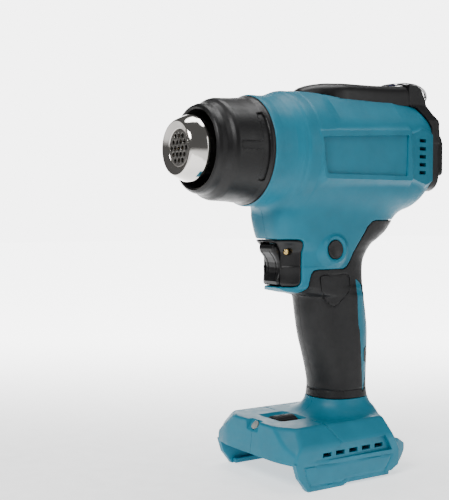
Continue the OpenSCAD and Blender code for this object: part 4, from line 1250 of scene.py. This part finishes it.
CAMERA_AZ, CAMERA_EL = math.radians(146.68), math.radians(2.27)
CAMERA_SPOT = Vector((0.344, 0.4339, 0.1486))
back = Vector((math.sin(CAMERA_AZ) * math.cos(CAMERA_EL), -math.cos(CAMERA_AZ) * math.cos(CAMERA_EL),
               math.sin(CAMERA_EL)))
right = Vector((0, 0, 1)).cross(back).normalized()
up = back.cross(right)
flat_back = Vector((back.x, back.y, 0)).normalized()


def rig(spot, x_axis, y_axis, z_axis):
    """World matrix of something that stands at a spot with the given axes."""
    matrix = Matrix((x_axis, y_axis, z_axis)).transposed().to_4x4()
    matrix.translation = spot
    return matrix


camera = bpy.data.objects.new("camera", bpy.data.cameras.new("camera"))
camera.data.lens = 69.12
camera.data.sensor_width = 36
camera.matrix_world = rig(CAMERA_SPOT, right, up, back)
bpy.context.scene.collection.objects.link(camera)
bpy.context.scene.camera = camera

BACKDROP = 5.5          # brightness of the white studio behind the tool
AMBIENT = 0.10          # brightness of the rest of the room
FLOOR_NEAR = 1.05       # own brightness of the paper beside the tool, where its shadow falls
VIEW_CONE = (0.90, 0.945)   # cosines between which the backdrop fades in round the line of sight


def math_node(tree, operation, first, second):
    """A vector operation on a socket and a constant, or on the socket alone where second is None."""
    node = tree.nodes.new("ShaderNodeVectorMath")
    node.operation = operation
    tree.links.new(first, node.inputs[0])
    if second is not None:
        node.inputs[1].default_value = second
    return node.outputs["Value" if operation == "DOT_PRODUCT" else "Vector"]


def map_range(tree, source, start, stop, low, high):
    """Fades a value smoothly from low to high while the source goes from start to stop."""
    node = tree.nodes.new("ShaderNodeMapRange")
    node.interpolation_type = "SMOOTHSTEP"
    for socket, value in (("From Min", start), ("From Max", stop), ("To Min", low), ("To Max", high)):
        node.inputs[socket].default_value = value
    tree.links.new(source, node.inputs["Value"])
    return node.outputs["Result"]


def floor_paper():
    """White paper that grows as bright as the backdrop behind the tool and stays dull elsewhere."""
    paper = Finish("floor_paper", (0.9, 0.9, 0.9), 0.8).grain(300, 0.00002)
    tree = paper.tree
    depth = math_node(tree, "DOT_PRODUCT", paper.place, tuple(-flat_back))
    glow = map_range(tree, depth, -0.02, 0.6, FLOOR_NEAR, BACKDROP)
    offset = math_node(tree, "SUBTRACT", paper.place, (CAMERA_SPOT.x, CAMERA_SPOT.y, 0))
    ahead = math_node(tree, "DOT_PRODUCT", math_node(tree, "NORMALIZE", offset, None), tuple(-flat_back))
    mask = map_range(tree, ahead, *VIEW_CONE, 0.1, 1.0)
    product = tree.nodes.new("ShaderNodeMath")
    product.operation = "MULTIPLY"
    tree.links.new(glow, product.inputs[0])
    tree.links.new(mask, product.inputs[1])
    paper.shader.inputs["Emission Color"].default_value = (1, 1, 1, 1)
    tree.links.new(product.outputs["Value"], paper.shader.inputs["Emission Strength"])
    return paper.material


bpy.ops.mesh.primitive_plane_add(size=8, location=(0, 0, HOUSING_LOW[2] * MM))
floor = bpy.context.object
floor.name = "floor"
floor.data.materials.append(floor_paper())

TARGET = Vector((0, 0, 0.12))


def softbox(name, across, rise, toward, size, watts):
    """An area light aimed at the tool, placed in metres across, above and towards the camera."""
    light = bpy.data.lights.new(name, "AREA")
    light.shape = "RECTANGLE"
    light.size, light.size_y = size
    light.energy = watts
    spot = TARGET + right * across + flat_back * toward + Vector((0, 0, rise))
    aim = (spot - TARGET).normalized()
    side = Vector((0, 0, 1)).cross(aim).normalized()
    obj = bpy.data.objects.new(name, light)
    obj.matrix_world = rig(spot, side, aim.cross(side), aim)
    bpy.context.scene.collection.objects.link(obj)


softbox("key", -0.5, 0.75, 0.8, (0.55, 0.4), 12)
softbox("fill", 0.95, 0.3, 0.45, (0.3, 0.8), 2.6)
softbox("top", 0.1, 1.1, -0.25, (0.9, 0.5), 9)

world = bpy.data.worlds.new("studio")
world.use_nodes = True
tree = world.node_tree
direction = tree.nodes.new("ShaderNodeTexCoord").outputs["Generated"]
ahead = math_node(tree, "DOT_PRODUCT", direction, tuple(-flat_back))
backdrop = map_range(tree, ahead, *VIEW_CONE, AMBIENT, BACKDROP)
tree.links.new(backdrop, tree.nodes["Background"].inputs["Strength"])
tree.nodes["Background"].inputs["Color"].default_value = (1, 1, 1, 1)
bpy.context.scene.world = world

bpy.context.view_layer.update()
